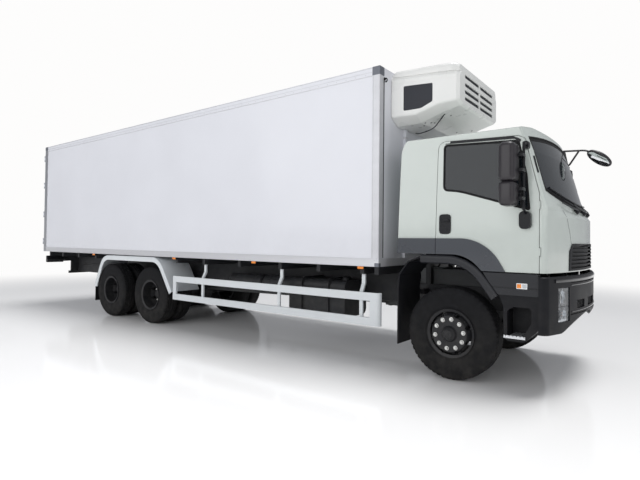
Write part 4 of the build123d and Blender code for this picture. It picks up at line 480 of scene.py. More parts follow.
def arc(start, middle, end, steps=40):
    """Points on the circle through three points of a plane, from the first to the last."""
    start, middle, end = (np.asarray(p, float) for p in (start, middle, end))
    rows = np.stack([middle - start, end - start])
    centre = start + np.linalg.solve(rows, (rows**2).sum(1) / 2)
    angles = [math.atan2(*(p - centre)[::-1]) for p in (start, middle, end)]
    angle = np.linspace(*np.unwrap(angles)[[0, 2]], steps)
    return centre + np.linalg.norm(start - centre) * joined(np.cos(angle), np.sin(angle))


def screen_outline(shrink):
    """The windscreen's edge in the front view: two arcs and two straight sides, drawn in by shrink."""
    (ly, lz), (hy, hz) = SCREEN_LOW, SCREEN_HIGH
    low = arc((-ly, lz), (0, SCREEN_LOW_CENTRE), (ly, lz))
    high = arc((hy, hz), (0, SCREEN_HIGH_CENTRE), (-hy, hz))
    side, other = (np.linspace(a[-1], b[0], 14)[1:-1] for a, b in ((low, high), (high, low)))
    return inset(np.concatenate([low, side, high, other]), shrink)


def on_front(y, z, proud):
    """Front-view places laid on the cab's front, standing proud of it."""
    return joined(cab_front(y, z) + proud, y, z)


def on_side(x, z, proud):
    """Side-view places laid on the cab's side, standing proud of it."""
    return joined(x, cab_side(z) + proud, z)


def bumper_front(y, back=0.0):
    """How far ahead the bumper's face lies, less back: its nose less the drop of its crown's arc."""
    return BUMPER_NOSE - back - (BUMPER_CROWN - np.sqrt(BUMPER_CROWN**2 - np.square(y)))


def unit_side(x):
    """The half width of the cooling unit at a station."""
    return np.interp(x, [-892, -583, -292, -100, -65], [950, 875, 815, 755, 718])


NUT = [(0, 23), (3, 23), (4, 16.5), (19, 16.5), (25, 13), (28, 5)]
NUT_WIDTH = 33
BOLT = [(0, 9), (6, 9), (8, 6)]
RIVET = np.array([(-0.5, 1.0), (1.2, 0.95), (2.6, 0.6), (3.0, 0.15)])


class TruckPiece(bpy.types.Operator):
    """Common ground of the operators"""

    bl_options = {"REGISTER", "UNDO"}


class TRUCK_OT_node_finishes(TruckPiece):
    """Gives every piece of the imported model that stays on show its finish"""

    bl_idname = "truck.node_finishes"
    bl_label = "Finishes of the CAD pieces"

    # A star stands for right and left
    looks = {
        "cab_paint": "cab_shell cab_front_panel door_*_panel",
        "band_paint": "cab_arch_trim",
        "moulded_trim": "front_bumper step_housings front_mudguards battery_box grille",
        "gloss_trim": "door_*_trim",
        "body_gelcoat": "box_side_walls box_roof box_front_wall cargo_door_*_leaf",
        "rail_aluminium": "box_edging",
        "portal_steel": "box_rear_frame cargo_door_*_lock_bars",
        "floor_alloy": "box_floor",
        "chassis_paint": "fuel_tank frame_rails frame_fittings axles leaf_springs air_tanks body_sills "
                         "cross_bearers rear_beam knuckle_* cab_floor",
        "cast_iron": "engine_block",
        "tank_aluminium": "silencer",
        "step_aluminium": "step_treads",
        "guard_paint": "side_guards",
        "unit_housing": "fridge_housing",
        "seal_rubber": "mud_flaps",
        "pane_glass": "windscreen door_*_window",
        "rim_paint": "front_wheel_*_rim rear_wheel_1_*_rims rear_wheel_2_*_rims",
    }

    # node, second finish, and the heights in metres between which its faces carry it
    parted = (
        ("door_right_trim", "band_paint", 0.0, 1.66),
        ("door_left_trim", "band_paint", 0.0, 1.66),
        ("step_housings", "arch_moulding", 1.03, 1.6),
        ("box_edging", "body_gelcoat", 3.62, 3.9),
    )

    def execute(self, context):
        dressed = set()
        for finish_name, pieces in self.looks.items():
            names = {piece.replace("*", side) for piece in pieces.split() for side, _ in SIDES}
            for name in names:
                NODES[name].data.materials.clear()
                NODES[name].data.materials.append(look(finish_name))
            dressed |= names
        left = set(NODES) - dressed - REPLACED
        if left:
            raise RuntimeError(f"no finish for {sorted(left)}")
        for name, finish_name, low, high in self.parted:
            mesh = NODES[name].data
            mesh.materials.append(look(finish_name))
            centres = np.empty(len(mesh.polygons) * 3)
            mesh.polygons.foreach_get("center", centres)
            level = centres[2::3]
            mesh.polygons.foreach_set("material_index", ((level > low) & (level < high)).astype(np.int32))
        return {"FINISHED"}


class TRUCK_OT_tyres(TruckPiece):
    """Tyres with bulged walls, five ribs and shoulder blocks, in place of the plain rings"""

    bl_idname = "truck.tyres"
    bl_label = "Tyres"

    # Half section: sideways from the middle, radius, and the cut: 1 a groove, 2 the shoulder, 3 fine ribs
    section = ((104, 258.8, 0), (113, 276, 0), (119, 291, 0), (123.5, 303, 0), (126, 305, 0), (126.6, 312, 0),
               (127, 316, 0), (134, 342, 0), (139, 372, 0), (140, 402, 0), (139.5, 428, 0), (136.5, 452, 0),
               (137, 458, 0), (133, 476, 3), (129.5, 490, 3), (125, 503, 2), (121, 513, 2), (113, 522, 2),
               (104, 526, 2), (95, 528.4, 2), (84, 529, 0), (82.5, 0, 1), (73.5, 0, 1), (72, 529.4, 0),
               (40, 529.8, 0), (38.5, 0, 1), (29.5, 0, 1), (28, 530, 0))
    tread_radius = 529.5
    outer_groove, inner_groove = 78, 34

    def tyre(self, x, y, sizes):
        """A closed section carried round the axle: radius(row, turn) falls in the grooves and between the
        shoulder blocks, and the grooves' offset(row, turn) swings as a triangle wave."""
        depth, half_groove = sizes.tread_depth * 1000, sizes.groove_width * 500
        rows = np.array(self.section, float)
        groove = rows[:, 2] == 1
        rows[groove, 1] = self.tread_radius - depth
        middle = np.where(rows[:, 0] > 60, self.outer_groove, self.inner_groove)[groove]
        rows[groove, 0] = middle + np.sign(rows[groove, 0] - middle) * half_groove
        rows = np.concatenate([rows, rows[::-1] * [-1, 1, 1]])
        across, reach, kind = rows[:, :1], rows[:, 1:2], rows[:, 2:3]
        turn = np.arange(sizes.tread_blocks * 4)
        angle = turn * 2 * math.pi / len(turn)
        swing = np.abs((turn / 4.0) % 2 - 1) * 2 - 1
        ripple = 3.5 * swing * (np.abs(across) < 90) + (kind == 3) * (turn % 2) * 1.6
        radius = reach - (kind == 2) * (turn % 4 == 0) * depth * 0.75
        return joined(x + radius * np.sin(angle), y + across + ripple * np.sign(across),
                      WHEEL_HEIGHT + radius * np.cos(angle))

    def execute(self, context):
        for body, ring, side, x, tracks, *_ in WHEELS:
            skin = Skin((side,))
            for y in tracks:
                skin.grid(self.tyre(x, y, context.scene.truck_sizes), close_rows=True)
            skin.build(f"tread_{body}", "tyre_rubber", body, "tyre", f"{body}_{ring}")
        return {"FINISHED"}


class TRUCK_OT_wheel_fittings(TruckPiece):
    """Wheel nuts, hub caps, their bolts and the valve of every wheel"""

    bl_idname = "truck.wheel_fittings"
    bl_label = "Wheel nuts and hub caps"

    def fit(self, sizes, body, side, x, disc, hub, reach):
        """Nuts on the rim's disc, and a cap over the hub, at their distances from the truck's middle."""
        nuts, caps = Skin((side,)), Skin((side,))
        nut = np.array(NUT) * [1.0, sizes.nut_width * 1000 / NUT_WIDTH]
        nut[2:, 0] *= reach
        for ahead, up in circle(10, sizes.nut_circle * 500, math.radians(9)):
            nuts.spin(nut, (x + ahead, disc, WHEEL_HEIGHT + up), LEFT, 14)
        nuts.build(f"nuts_{body}", "nut_steel", body, "rim_dark")
        washer = [(-0.5, 140), (2.5, 141), (2.5, 194), (-0.5, 195)]
        caps.spin(washer, (x, disc, WHEEL_HEIGHT), LEFT, 48, close_rows=True)
        dome = [(-2, 60), (5, 60), (12, 54), (17, 40), (19, 22), (24, 22), (26, 18)]
        caps.spin(dome, (x, hub, WHEEL_HEIGHT), LEFT)
        for bolt, offsets, y in ((BOLT, circle(8, 51), hub + 11),
                                 ([(0, 7), (5, 7), (7, 4)], circle(12, 222, 0.2), disc - 34 * reach)):
            for ahead, up in offsets:
                caps.spin(bolt, (x + ahead, y, WHEEL_HEIGHT + up), LEFT, 6)
        valve = np.array([(60, -60, 232), (52, -30, 226), (40, 4, 205)]) + (x, disc, WHEEL_HEIGHT)
        caps.run(eased(valve), circle(8, 4.5))
        caps.build(f"hub_cap_{body}", "rim_paint", body, "rim_dark")

    def execute(self, context):
        for body, _, side, x, _, *places in WHEELS:
            self.fit(context.scene.truck_sizes, body, side, x, *places)
        return {"FINISHED"}


class TRUCK_OT_body_fittings(TruckPiece):
    """Beads and rivets of the body's rails, corner castings, seals, the front hook and the roof's seams"""

    bl_idname = "truck.body_fittings"
    bl_label = "Body rails and corners"

    def execute(self, context):
        sizes = context.scene.truck_sizes
        rear, front, face = BODY_REAR, BODY_FRONT, BODY_SIDE
        beads, rivets, dark = Skin(BOTH), Skin(BOTH), Skin(BOTH)
        for z, width in ((1263, 12), (1349, 10), (3667, 10), (3768, 12), (3715, 5)):
            beads.box((rear, face - 1, z - width / 2), (front - 6, face + 3, z + width / 2), 2, 0)
        for x in (-991, -902):
            beads.box((x - 6, face - 1, 1360), (x + 6, face + 3, 3655), 2, 2)
        pitch, head = sizes.rivet_pitch * 1000, RIVET * [1, sizes.rivet_radius * 1000]
        along = np.linspace(rear + 70, front - 60, int((front - rear) / pitch))
        upright = np.arange(1420, 3620, pitch)
        for place in [(x, face, z) for x in along for z in (1330, 3690)] + [(-960, face, z) for z in upright]:
            rivets.spin(head, place, LEFT, 8)
        for z in upright:
            rivets.spin(head, (front, 1200, z), AHEAD, 8)
        # Corner castings at the top of the posts, the caps at the foot, and the seal along the front wall
        for x, depth, inner, low, high, soft in (
                (front + 3, 115, 1140, 3668, 3782, 9), (front + 3, 63, 1200, 1252, 1300, 6),
                (rear + 2, 134, 1188, 3700, 3782, 8)):
            dark.box((x - depth, inner, low), (x, face + 3.5, high), soft, 1)
        dark.box((front - 1, 1141, 1365), (front + 5, 1155, 3650), 3, 2, mark=1)
        hook = [(front + x, 1128, z) for x, z in ((0, 3640), (22, 3646), (34, 3622), (22, 3600), (6, 3606))]
        dark.run(eased(hook), circle(10, 7), LEFT, mark=1)
        dark.spin([(0, 20), (5, 20), (7, 15)], (front, 1128, 3640), AHEAD, 20, mark=1)
        # Cross seams of the roof skin, and brackets of the duct on the front wall
        beads.sides = AS_GIVEN
        for x in np.arange(rear + 1150, front, 1300):
            beads.box((x - 14, -1128, 3774), (x + 14, 1128, 3778), 3, 1)
        for z in (1500, 2000, 2500, 2980):
            beads.box((front - 1, -613, z - 14), (front + 35, -527, z + 14), 4, 1)
        beads.build("body_rail_beads", "rail_aluminium", "chassis", "edging_aluminium")
        rivets.build("body_rivets", "rail_aluminium", "chassis", "edging_aluminium", sharp=70)
        dark.build("body_corners", "corner_steel seal_rubber", "chassis", "portal_steel")
        return {"FINISHED"}


class TRUCK_OT_cargo_door_fittings(TruckPiece):
    """Seals, handles, cams and bolts of the two cargo doors, and the keepers on the portal"""

    bl_idname = "truck.cargo_door_fittings"
    bl_label = "Cargo door fittings"

    def leaf(self, skin, keepers):
        """One leaf's seal, and on each of its two lock bars the cams and a lever with its grip flat."""
        face, bar = DOOR_FACE, DOOR_FACE - 30
        seal = joined(face - 1.0, *oblong((20, 1396), (1170, 3657), 30, 6).T)
        skin.run(seal, strip(26, 9, 3), AHEAD, closed=True, mark=1)
        for y, lever_z in ((920, 1760), (320, 1900)):
            for z in (1340, 3712):
                skin.box((bar - 16, y - 22, z - 26), (bar + 16, y + 22, z + 26), 7, 2)
                skin.box((bar - 12, y - 34, z - 10), (bar + 14, y + 34, z + 10), 5, 1)
                for inner in (y - 62, y + 38):
                    keepers.box((face - 10, inner, z - 34), (face, inner + 24, z + 34), 4, 0)
            lever = [(bar + x, y + dy, lever_z + dz)
                     for x, dy, dz in ((-6, 0, 0), (-12, -60, -4), (-10, -240, -8), (-10, -400, -8))]
            skin.run(eased(lever), strip(30, 9, 4), AHEAD)
            skin.box((bar - 14, y - 330, lever_z - 30), (face, y - 372, lever_z + 14), 6, 0)
            skin.spin([(-24, 22), (-22, 24), (22, 24), (24, 22)], (bar, y, lever_z), UP, 20)
        for z in (1500, 2150, 2850, 3500):
            for place in [(face - 14, y, z + dz) for y in (1020, 1075, 1130) for dz in (-16, 16)]:
                skin.spin([(0, 11), (7, 11), (9, 7)], place, (-1, 0, 0), 8)

    def execute(self, context):
        keepers = Skin()
        for side_name, side in SIDES:
            skin = Skin((side,))
            keepers.sides = (side,)
            self.leaf(skin, keepers)
            skin.build(f"cargo_door_{side_name}_fittings", "portal_steel seal_rubber",
                       f"cargo_door_{side_name}", "portal_steel")
        keepers.build("portal_keepers", "portal_steel", "chassis", "portal_steel")
        return {"FINISHED"}


class TRUCK_OT_unit_fittings(TruckPiece):
    """The cooling unit's dark slots, blank panels, seams, screws, drain holes and cable"""

    bl_idname = "truck.unit_fittings"
    bl_label = "Cooling unit fittings"

    def lid(self):
        """The lid that rises above the body's roof towards the front: an arch in the cross view with quarter
        circles at its edges, whose width and top fall by a quarter circle at both ends."""
        rise, edge = 60, 55
        turn = np.linspace(0, math.pi / 2, 7)
        rows = []
        for x in np.linspace(-889, -74, 18):
            end = np.clip(min(x + 889, -74 - x) / rise, 0, 1)
            fall = 1 - math.sqrt(end * (2 - end))
            half = unit_side(x) + 2.5 - 16 * fall
            top = np.interp(x, (BODY_FRONT, UNIT_FACE), (3786, 3818)) - 26 * fall
            side_y, side_z = half - edge * (1 - np.cos(turn)), top - edge * (1 - np.sin(turn))
            y = np.concatenate([[half], side_y, -side_y[::-1], [-half]])
            rows.append(joined(x, y, np.concatenate([[3702], side_z, side_z[::-1], [3702]])))
        return np.stack(rows)

    def execute(self, context):
        skin = Skin(BOTH)
        # Dark backs and two thin blades in each of the four slots
        for top in (3695, 3590, 3500, 3415):
            back = slab(oblong((20.5, top - 44.7), (549.5, top - 0.3), 20, 6), 0.0, 34, 1.0)
            skin.grid(laid(back, (UNIT_FACE - 46, 0, 0), LEFT, UP, AHEAD))
            for z in (top - 31.5, top - 13.5):
                skin.box((UNIT_FACE - 30, 24, z - 1.5), (UNIT_FACE - 8, 546, z + 1.5), 1.2, 1)
        label = rounded([(-737, 3256), (-520, 3268), (-376, 3342), (-376, 3573), (-737, 3573)], 18, 5)
        x, z, proud = np.moveaxis(slab(label, -3.0, 3.0, 1.5), -1, 0)
        skin.grid(joined(x, unit_side(x) + proud, z))
        # Screws along the housing and the seam of its removable shell
        for x in (-860, -700, -540, -380, -220):
            skin.spin([(-1, 8), (3, 8), (5, 5)], (x, unit_side(x) - 1, 3670), LEFT, 10, mark=1)
        x = np.linspace(-890, -110, 30)
        skin.run(joined(x, unit_side(x) + 0.6, 3618), strip(2.5, 4, 0.8), mark=1)
        skin.sides = AS_GIVEN
        skin.grid(self.lid(), mark=1)
        # Drain holes and grommets on the sloping underside
        for x, y in ((-560, -640), (-610, -560), (-520, -545), (-500, -480), (-330, -560), (-300, -420),
                     (-700, -300), (-480, 250), (-620, 380), (-350, 500)):
            z = np.interp(x, [-892, -583, -292, -100], [3092, 3120, 3240, 3289])
            skin.spin([(-3, 12), (2, 12), (4, 8)], (x, y, z), (0.25, 0, -1), 14)
        cable = [(-886, -300, 3120), (-800, -330, 3078), (-560, -420, 3096), (-420, -500, 3168),
                 (-340, -560, 3216)]
        skin.run(eased(cable), circle(8, 7))
        skin.build("unit_fittings", "unit_dark unit_housing", "chassis", "dark_plastic")
        return {"FINISHED"}


class TRUCK_OT_glass_trim(TruckPiece):
    """Seals and dark borders round the windscreen and door windows, and the bars that divide them"""

    bl_idname = "truck.glass_trim"
    bl_label = "Glass seals"

    def door(self, skin, width):
        """Two borders that follow the window's outline on the door, the bar, the visor and the handle."""
        outline = rounded(DOOR_WINDOW, DOOR_WINDOW_ROUNDINGS, 10)
        for drawn_in, proud, section in ((3.0, -1.0, strip(width - 2, 7, 3)), (13, -7.0, strip(16, 2, 0.8))):
            skin.run(on_side(*inset(outline, drawn_in).T, proud), section, LEFT, closed=True)
        z = np.linspace(2655, 1935, 8)
        skin.run(on_side(np.interp(z, [1935, 2655], [786, 722]), z, -6.0), strip(26, 9, 3), LEFT)
        # The light rear end of the visor, the handle's plate and grip, and the keyhole below it
        side = cab_side(2700)
        skin.box((-66, side + 24, 2699), (10, side + 33, 2722), 4, 0, mark=1)
        skin.box((-118, 1206, 1664), (21, 1211.5, 1890), 40, 1, mark=2)
        grip = [(-98, 1211, 1819), (-90, 1222, 1820), (-48, 1228, 1820), (-8, 1222, 1820), (0, 1211, 1819)]
        skin.run(eased(grip), strip(11, 26, 4), mark=2)
        skin.spin([(-1, 11), (3, 11), (4, 8)], (-48, 1210, 1725), LEFT, 20, mark=2)

    def execute(self, context):
        width = context.scene.truck_sizes.seal_width * 1000
        skin = Skin()
        for shrink, proud, section in ((2.0, 0.5, strip(width, 7, 3)), (30, -7.0, strip(50, 2, 0.8))):
            skin.run(on_front(*screen_outline(shrink).T, proud), section, (0.97, 0.0, 0.24), closed=True)
        skin.build("windscreen_seal", "seal_rubber", "cab", "dark_plastic")
        # Slots of the air outlets on the pillars, and the seams under the screen's corners
        trim = Skin(BOTH)
        slot = on_front(np.array([1146, 1140, 1132]), np.array([2300, 2400, 2480]), -1)
        trim.run(eased(slot), strip(34, 10, 3), (0.75, 0.66, 0.2))
        z = np.linspace(1560, 1925, 12)
        seam = on_front(np.interp(z, (1560, 1700, 1925), (650, 700, 800)), z, 0.3)
        trim.run(seam, strip(5, 1.6, 0.5), AHEAD)
        trim.build("pillar_trim", "gloss_trim", "cab", "dark_plastic")
        for side_name, side in SIDES:
            skin = Skin((side,))
            self.door(skin, width)
            skin.build(f"door_{side_name}_seal", "seal_rubber cab_paint gloss_trim", f"door_{side_name}",
                       "dark_plastic")
        return {"FINISHED"}


class TRUCK_OT_wipers(TruckPiece):
    """Three wipers, each a pivot cap, a bent arm and a blade along the foot of the windscreen"""

    bl_idname = "truck.wipers"
    bl_label = "Wipers"

    def execute(self, context):
        skin = Skin()
        blade_length = context.scene.truck_sizes.wiper_blade * 1000
        lean = (1, 0, 0.3)
        for pivot_y in (-336, 61, 458):
            pivot = on_front(pivot_y, 1930, 6)
            skin.spin([(-14, 36), (10, 34), (30, 26), (36, 14)], pivot, (0.85, 0.0, 0.52), 20)
            tip_y = pivot_y - 480
            arm = [pivot + [24, 0, 10], (cab_front(pivot_y - 60, 1955) + 46, pivot_y - 60, 1950),
                   on_front(pivot_y - 200, 1962, 42), on_front(tip_y, 2005, 30)]
            skin.run(eased(arm), strip(20, 9, 3), lean)
            # The blade follows the screen's foot, which rises with the square of the distance from the middle
            y = np.linspace(tip_y + blade_length * 0.5, tip_y - blade_length * 0.35, 16)
            blade = on_front(y, 2010 + 0.00013 * y**2, 12)
            skin.run(blade, strip(9, 24, 3), lean)
            skin.run(blade + [14, 0, 4], strip(16, 6, 2), lean)
        skin.build("wipers", "gloss_trim", "cab", "dark_plastic")
        return {"FINISHED"}


class TRUCK_OT_mirrors(TruckPiece):
    """Rounded cases and glass of the door mirrors, and the oval mirror over the front corner"""

    bl_idname = "truck.mirrors"
    bl_label = "Mirrors"

    def case(self, low, high, low_round, high_round):
        """A rounded rectangle in plan, drawn in towards its ends by a quarter circle at each."""
        plan = oblong((643, 1330), (800, 1570), 66, 8)
        rows = []
        for end, way, size in ((low, 1, low_round), (high, -1, high_round)):
            for angle in np.linspace(0.15, math.pi / 2, 7)[::way]:
                flat = inset(plan, size * (1 - math.sin(angle)))
                rows.append(joined(*flat.T, end + way * size * (1 - math.cos(angle))))
        return np.stack(rows)

    def corner(self):
        """The oval mirror: ellipses of changing share and level on tilted and rolled axes, on two struts."""
        skin = Skin()
        tilt, roll = math.radians(35), math.radians(34)
        along = np.array([math.cos(tilt), 0, -math.sin(tilt)])
        upright = np.array([math.sin(tilt), 0, math.cos(tilt)])
        normal = upright * math.cos(roll) + np.array(LEFT) * math.sin(roll)
        oval = circle(48, 1.0) * [175, 112]
        shell = ((0.86, -24), (0.93, -27), (0.98, -22), (1.0, -10), (0.97, 6), (0.86, 19), (0.66, 29),
                 (0.35, 33), (0.08, 34))
        glass = ((0.86, -22), (0.87, -26), (0.6, -28.5), (0.25, -29.5))
        for mark, rows in enumerate((shell, glass)):
            rings = np.stack([joined(*(oval * share).T, level) for share, level in rows])
            skin.grid(laid(rings, (1219, 1080, 2750), along, np.cross(normal, along), normal), mark=mark)
        for line in (((640, 2780), (716, 2888), (1064, 2870), (1190, 2776)),
                     ((781, 2884), (826, 2650), (970, 2875))):
            skin.run(rounded_line(line, 60) + [0, 1080, 0], circle(12, 13), LEFT)
        for x, z in ((640, 2780), (826, 2650)):
            skin.spin([(-26, 20), (-20, 27), (14, 27), (20, 20)], (x, 1080, z), (1, 0, 0.6), 20)
        skin.spin([(-20, 17), (20, 17)], (1190, 1080, 2776), along, 16)
        skin.build("corner_mirror", "mirror_case mirror_glass", "cab", "dark_plastic", "under_mirror")

    def execute(self, context):
        for side_name, side in SIDES:
            skin = Skin((side,))
            for low, high, *rounds in ((2188, 2581, 40, 50), (1940, 2185, 50, 40)):
                skin.grid(self.case(low, high, *rounds))
                skin.box((641.2, 1394, low + 52), (646, 1506, high - 52), 26, 0, mark=1)
            skin.build(f"door_{side_name}_mirror_cases", "mirror_case mirror_glass", f"door_{side_name}",
                       "dark_plastic")
        self.corner()
        return {"FINISHED"}


class TRUCK_OT_mudguards(TruckPiece):
    """Rear arches with rounded bends and a deep outer lip, and the thick lips of the front arches"""

    bl_idname = "truck.mudguards"
    bl_label = "Mudguards"

    def execute(self, context):
        rear, front = Skin(BOTH), Skin(BOTH)
        line = rounded_line(((-5118, 643), (-5519, 1239), (-7495, 1232), (-7785, 633), (-7785, 566)), 230)
        rear.run(line + [0, 936, 0], strip(9, 612, 3) + [4.5, 0], LEFT)
        rear.run(line + [0, 1235, 0], strip(92, 16, 6) + [46, 0], LEFT)
        for station in (-5700, -7320):
            rear.box((station - 25, 600, 1176), (station + 25, 680, 1226), 5, 1)
            rear.spin(BOLT, (station, 660, 1176), (0, 0, -1), 6)
        rear.build("rear_arches", "guard_paint", "chassis", "guard_white", "rear_mudguards")
        line = rounded_line(((548, 1008), (440, 1160), (330, 1290), (200, 1372), (51, 1420), (-345, 1420)),
                            90)
        lip = rounded([(-2, -46), (26, -58), (84, -52), (98, -30), (98, 46), (-2, 46)], 26, 6)
        front.run(line + [0, 1168, 0], lip * [1, -1], LEFT)
        front.build("front_arch_lips", "arch_moulding", "chassis", "dark_plastic")
        return {"FINISHED"}


class TRUCK_OT_lamps(TruckPiece):
    """Headlamps with reflectors behind ribbed lenses, tail lamps, side markers and reflectors"""

    bl_idname = "truck.lamps"
    bl_label = "Lamps and reflectors"

    # Section of a bowl, as shares of its depth and radius
    bowl = np.array([(0, 1.0), (-0.25, 0.93), (-0.5, 0.74), (-0.66, 0.42), (-0.7, 0.14), (-0.76, 0.14),
                     (-0.72, 0.5), (-0.55, 0.82), (-0.28, 1.0), (-0.02, 1.06)]) * [0.8, 1.0]

    def front(self, sizes):
        """Two lenses and their backs on the bumper's crown, three bowls with bulbs, an amber corner."""
        skin = Skin(BOTH)
        for low, high in ((754, 912), (916, 1106)):
            for depths, mark in (((-3.0, 2.0), 0), ((-86, -70), 1)):
                y, z, depth = np.moveaxis(slab(oblong((793, low), (1027, high), 22, 6), *depths, 1.5), -1, 0)
                skin.grid(joined(bumper_front(y, 12) + depth, y, z), mark=mark)
        radius = sizes.lens_radius * 1000
        for z, big, y in ((1012, radius, 905), (834, radius * 0.66, 862), (834, radius * 0.66, 966)):
            skin.spin(self.bowl * big, (bumper_front(y, 26), y, z), AHEAD, 32, close_rows=True, mark=2)
            skin.spin([(-30, 9), (-8, 10), (-4, 6)], (bumper_front(y, 40), y, z), AHEAD, 12)
        corner = bumper_front(1000, 20)
        skin.box((corner - 30, 985, 768), (corner, 1018, 900), 6, 2, mark=3)
        skin.build("headlamp_units", "lens_clear gloss_trim reflector lens_amber", "chassis", "lamp_clear",
                   "headlamps")

    def rear(self):
        """Three lenses in a box at each rear corner, and the amber markers along the body's sides."""
        skin = Skin(BOTH)
        skin.box((DOOR_FACE + 14, 812, 986), (DOOR_FACE + 88, 1198, 1147), 18, 0, mark=1)
        for low, high, mark in ((824, 938, 0), (944, 1066, 2), (1072, 1186, 0)):
            lens = slab(oblong((low, 1000), (high, 1133), 16, 5), 0, 12, 4)
            skin.grid(laid(lens, (DOOR_FACE + 15, 0, 0), LEFT, UP, (-1, 0, 0)), mark=mark)
        for x in (-1174, -3100, -5090, -7900):
            skin.box((x - 50, 1190, 1214), (x + 50, 1216, 1254), 5, 1, mark=1)
            skin.box((x - 44, 1214, 1218), (x + 44, 1227, 1250), 6, 1, mark=2)
        skin.build("tail_and_marker_lamps", "lens_red moulded_trim lens_amber", "chassis", "lamp_red",
                   "tail_lamps")

    def execute(self, context):
        self.front(context.scene.truck_sizes)
        self.rear()
        skin = Skin(BOTH)
        for mark, (low, high) in enumerate((((735, 1210, 1092), (844, 1215, 1152)),
                                            ((742, 1214, 1100), (784, 1217, 1144)),
                                            ((794, 1214, 1100), (837, 1217, 1144)))):
            skin.box(low, high, 5, 1, mark)
        skin.build("sill_reflectors", "reflector lens_amber lens_clear", "chassis", "lamp_clear")
        return {"FINISHED"}


class TRUCK_OT_chassis_fittings(TruckPiece):
    """Tank straps and cap, tank ends, spring bolts, brake chambers, hoses and the bumper's meshes"""

    bl_idname = "truck.chassis_fittings"
    bl_label = "Chassis fittings"

    def tanks(self, skin):
        """Straps and cap of the fuel tank, and the ends and bands of the two air tanks."""
        tank = inset(oblong((-1005, 520), (-445, 1020), 90, 8), -2.5)
        for x in (-2300, -1820):
            skin.run(joined(x, *tank.T), strip(60, 5, 1.5), AHEAD, closed=True)
        skin.spin([(0, 62), (14, 62), (16, 52), (34, 52), (38, 44)], (-1680, -790, 1020), UP, 28)
        dome = [(0, 139), (18, 132), (34, 108), (44, 70), (47, 20)]
        band = [(-14, 143), (-13, 144), (13, 144), (14, 143), (14, 139), (-14, 139)]
        for x in (-3000, -3800):
            for way in (-1, 1):
                skin.spin(dome, (x + way * 350, -620, 860), (way, 0, 0))
                skin.spin(band, (x + way * 220, -620, 860), AHEAD, close_rows=True)

    def springs(self, skin):
        """Bolts bent over each axle's springs, and the brake chambers of the rear axles."""
        chamber = [(0, 60), (20, 78), (60, 84), (68, 92), (76, 92), (84, 84), (140, 78), (150, 40)]
        for station in (0.0, *(x for _, x in REAR_STATIONS)):
            for x in (station - 70, station + 70):
                bolt = eased([(x, y, z) for y, z in ((337, 470), (337, 760), (385, 790), (433, 760),
                                                     (433, 470))])
                skin.run(bolt, circle(8, 9), AHEAD)
            if station:
                skin.spin(chamber, (station + 140, 560, 640), (1, 0, 0.2), 24)

    def bumper(self):
        """Meshes in the bumper's intakes, the glossy brow along its top and the mouldings over its lip."""
        mesh = Skin()
        for low, high in ((-598, -347), (-188, 188), (347, 598)):
            y, z, depth = np.moveaxis(slab(oblong((low, 868), (high, 958), 10, 4), -34, -24, 1.5), -1, 0)
            mesh.grid(joined(bumper_front(y) + depth, y, z), mark=1)
            y = np.linspace(low + 4, high - 4, 12)
            for z in np.arange(882, 950, 15):
                mesh.run(joined(bumper_front(y, 18), y, z), strip(5, 12, 1.5), AHEAD)
        for z, half, width, depth in ((1184, 1090, 24, 38), (1128, 756, 10, 14), (846, 740, 14, 12)):
            y = np.linspace(-half, half, 60)
            mesh.run(joined(bumper_front(y, 1.5), y, z), strip(depth, width, 9), AHEAD, mark=2)
        mesh.build("bumper_meshes", "moulded_trim gloss_trim brow_gloss", "chassis", "dark_plastic")

    def execute(self, context):
        skin = Skin()
        self.tanks(skin)
        # Hoses from the frame up to the cab, and lines along the rails
        for y, z in ((-250, 1180), (-190, 1200), (240, 1190)):
            hose = [(-1180, y, 1030), (-1060, y - 20, 1120), (-900, y, z + 40), (-760, y + 20, z + 20),
                    (-690, y, 1330)]
            skin.run(eased(hose), circle(10, 13), LEFT, mark=2)
        skin.sides = BOTH
        self.springs(skin)
        x = np.linspace(-9900, -5200, 24)
        for z in (950, 915):
            skin.run(eased(joined(x, 434 + 6 * np.sin(x / 700), z)), circle(6, 8), mark=2)
        skin.build("chassis_fittings", "chassis_paint nut_steel cable_sheath", "chassis", "chassis_black")
        self.bumper()
        return {"FINISHED"}


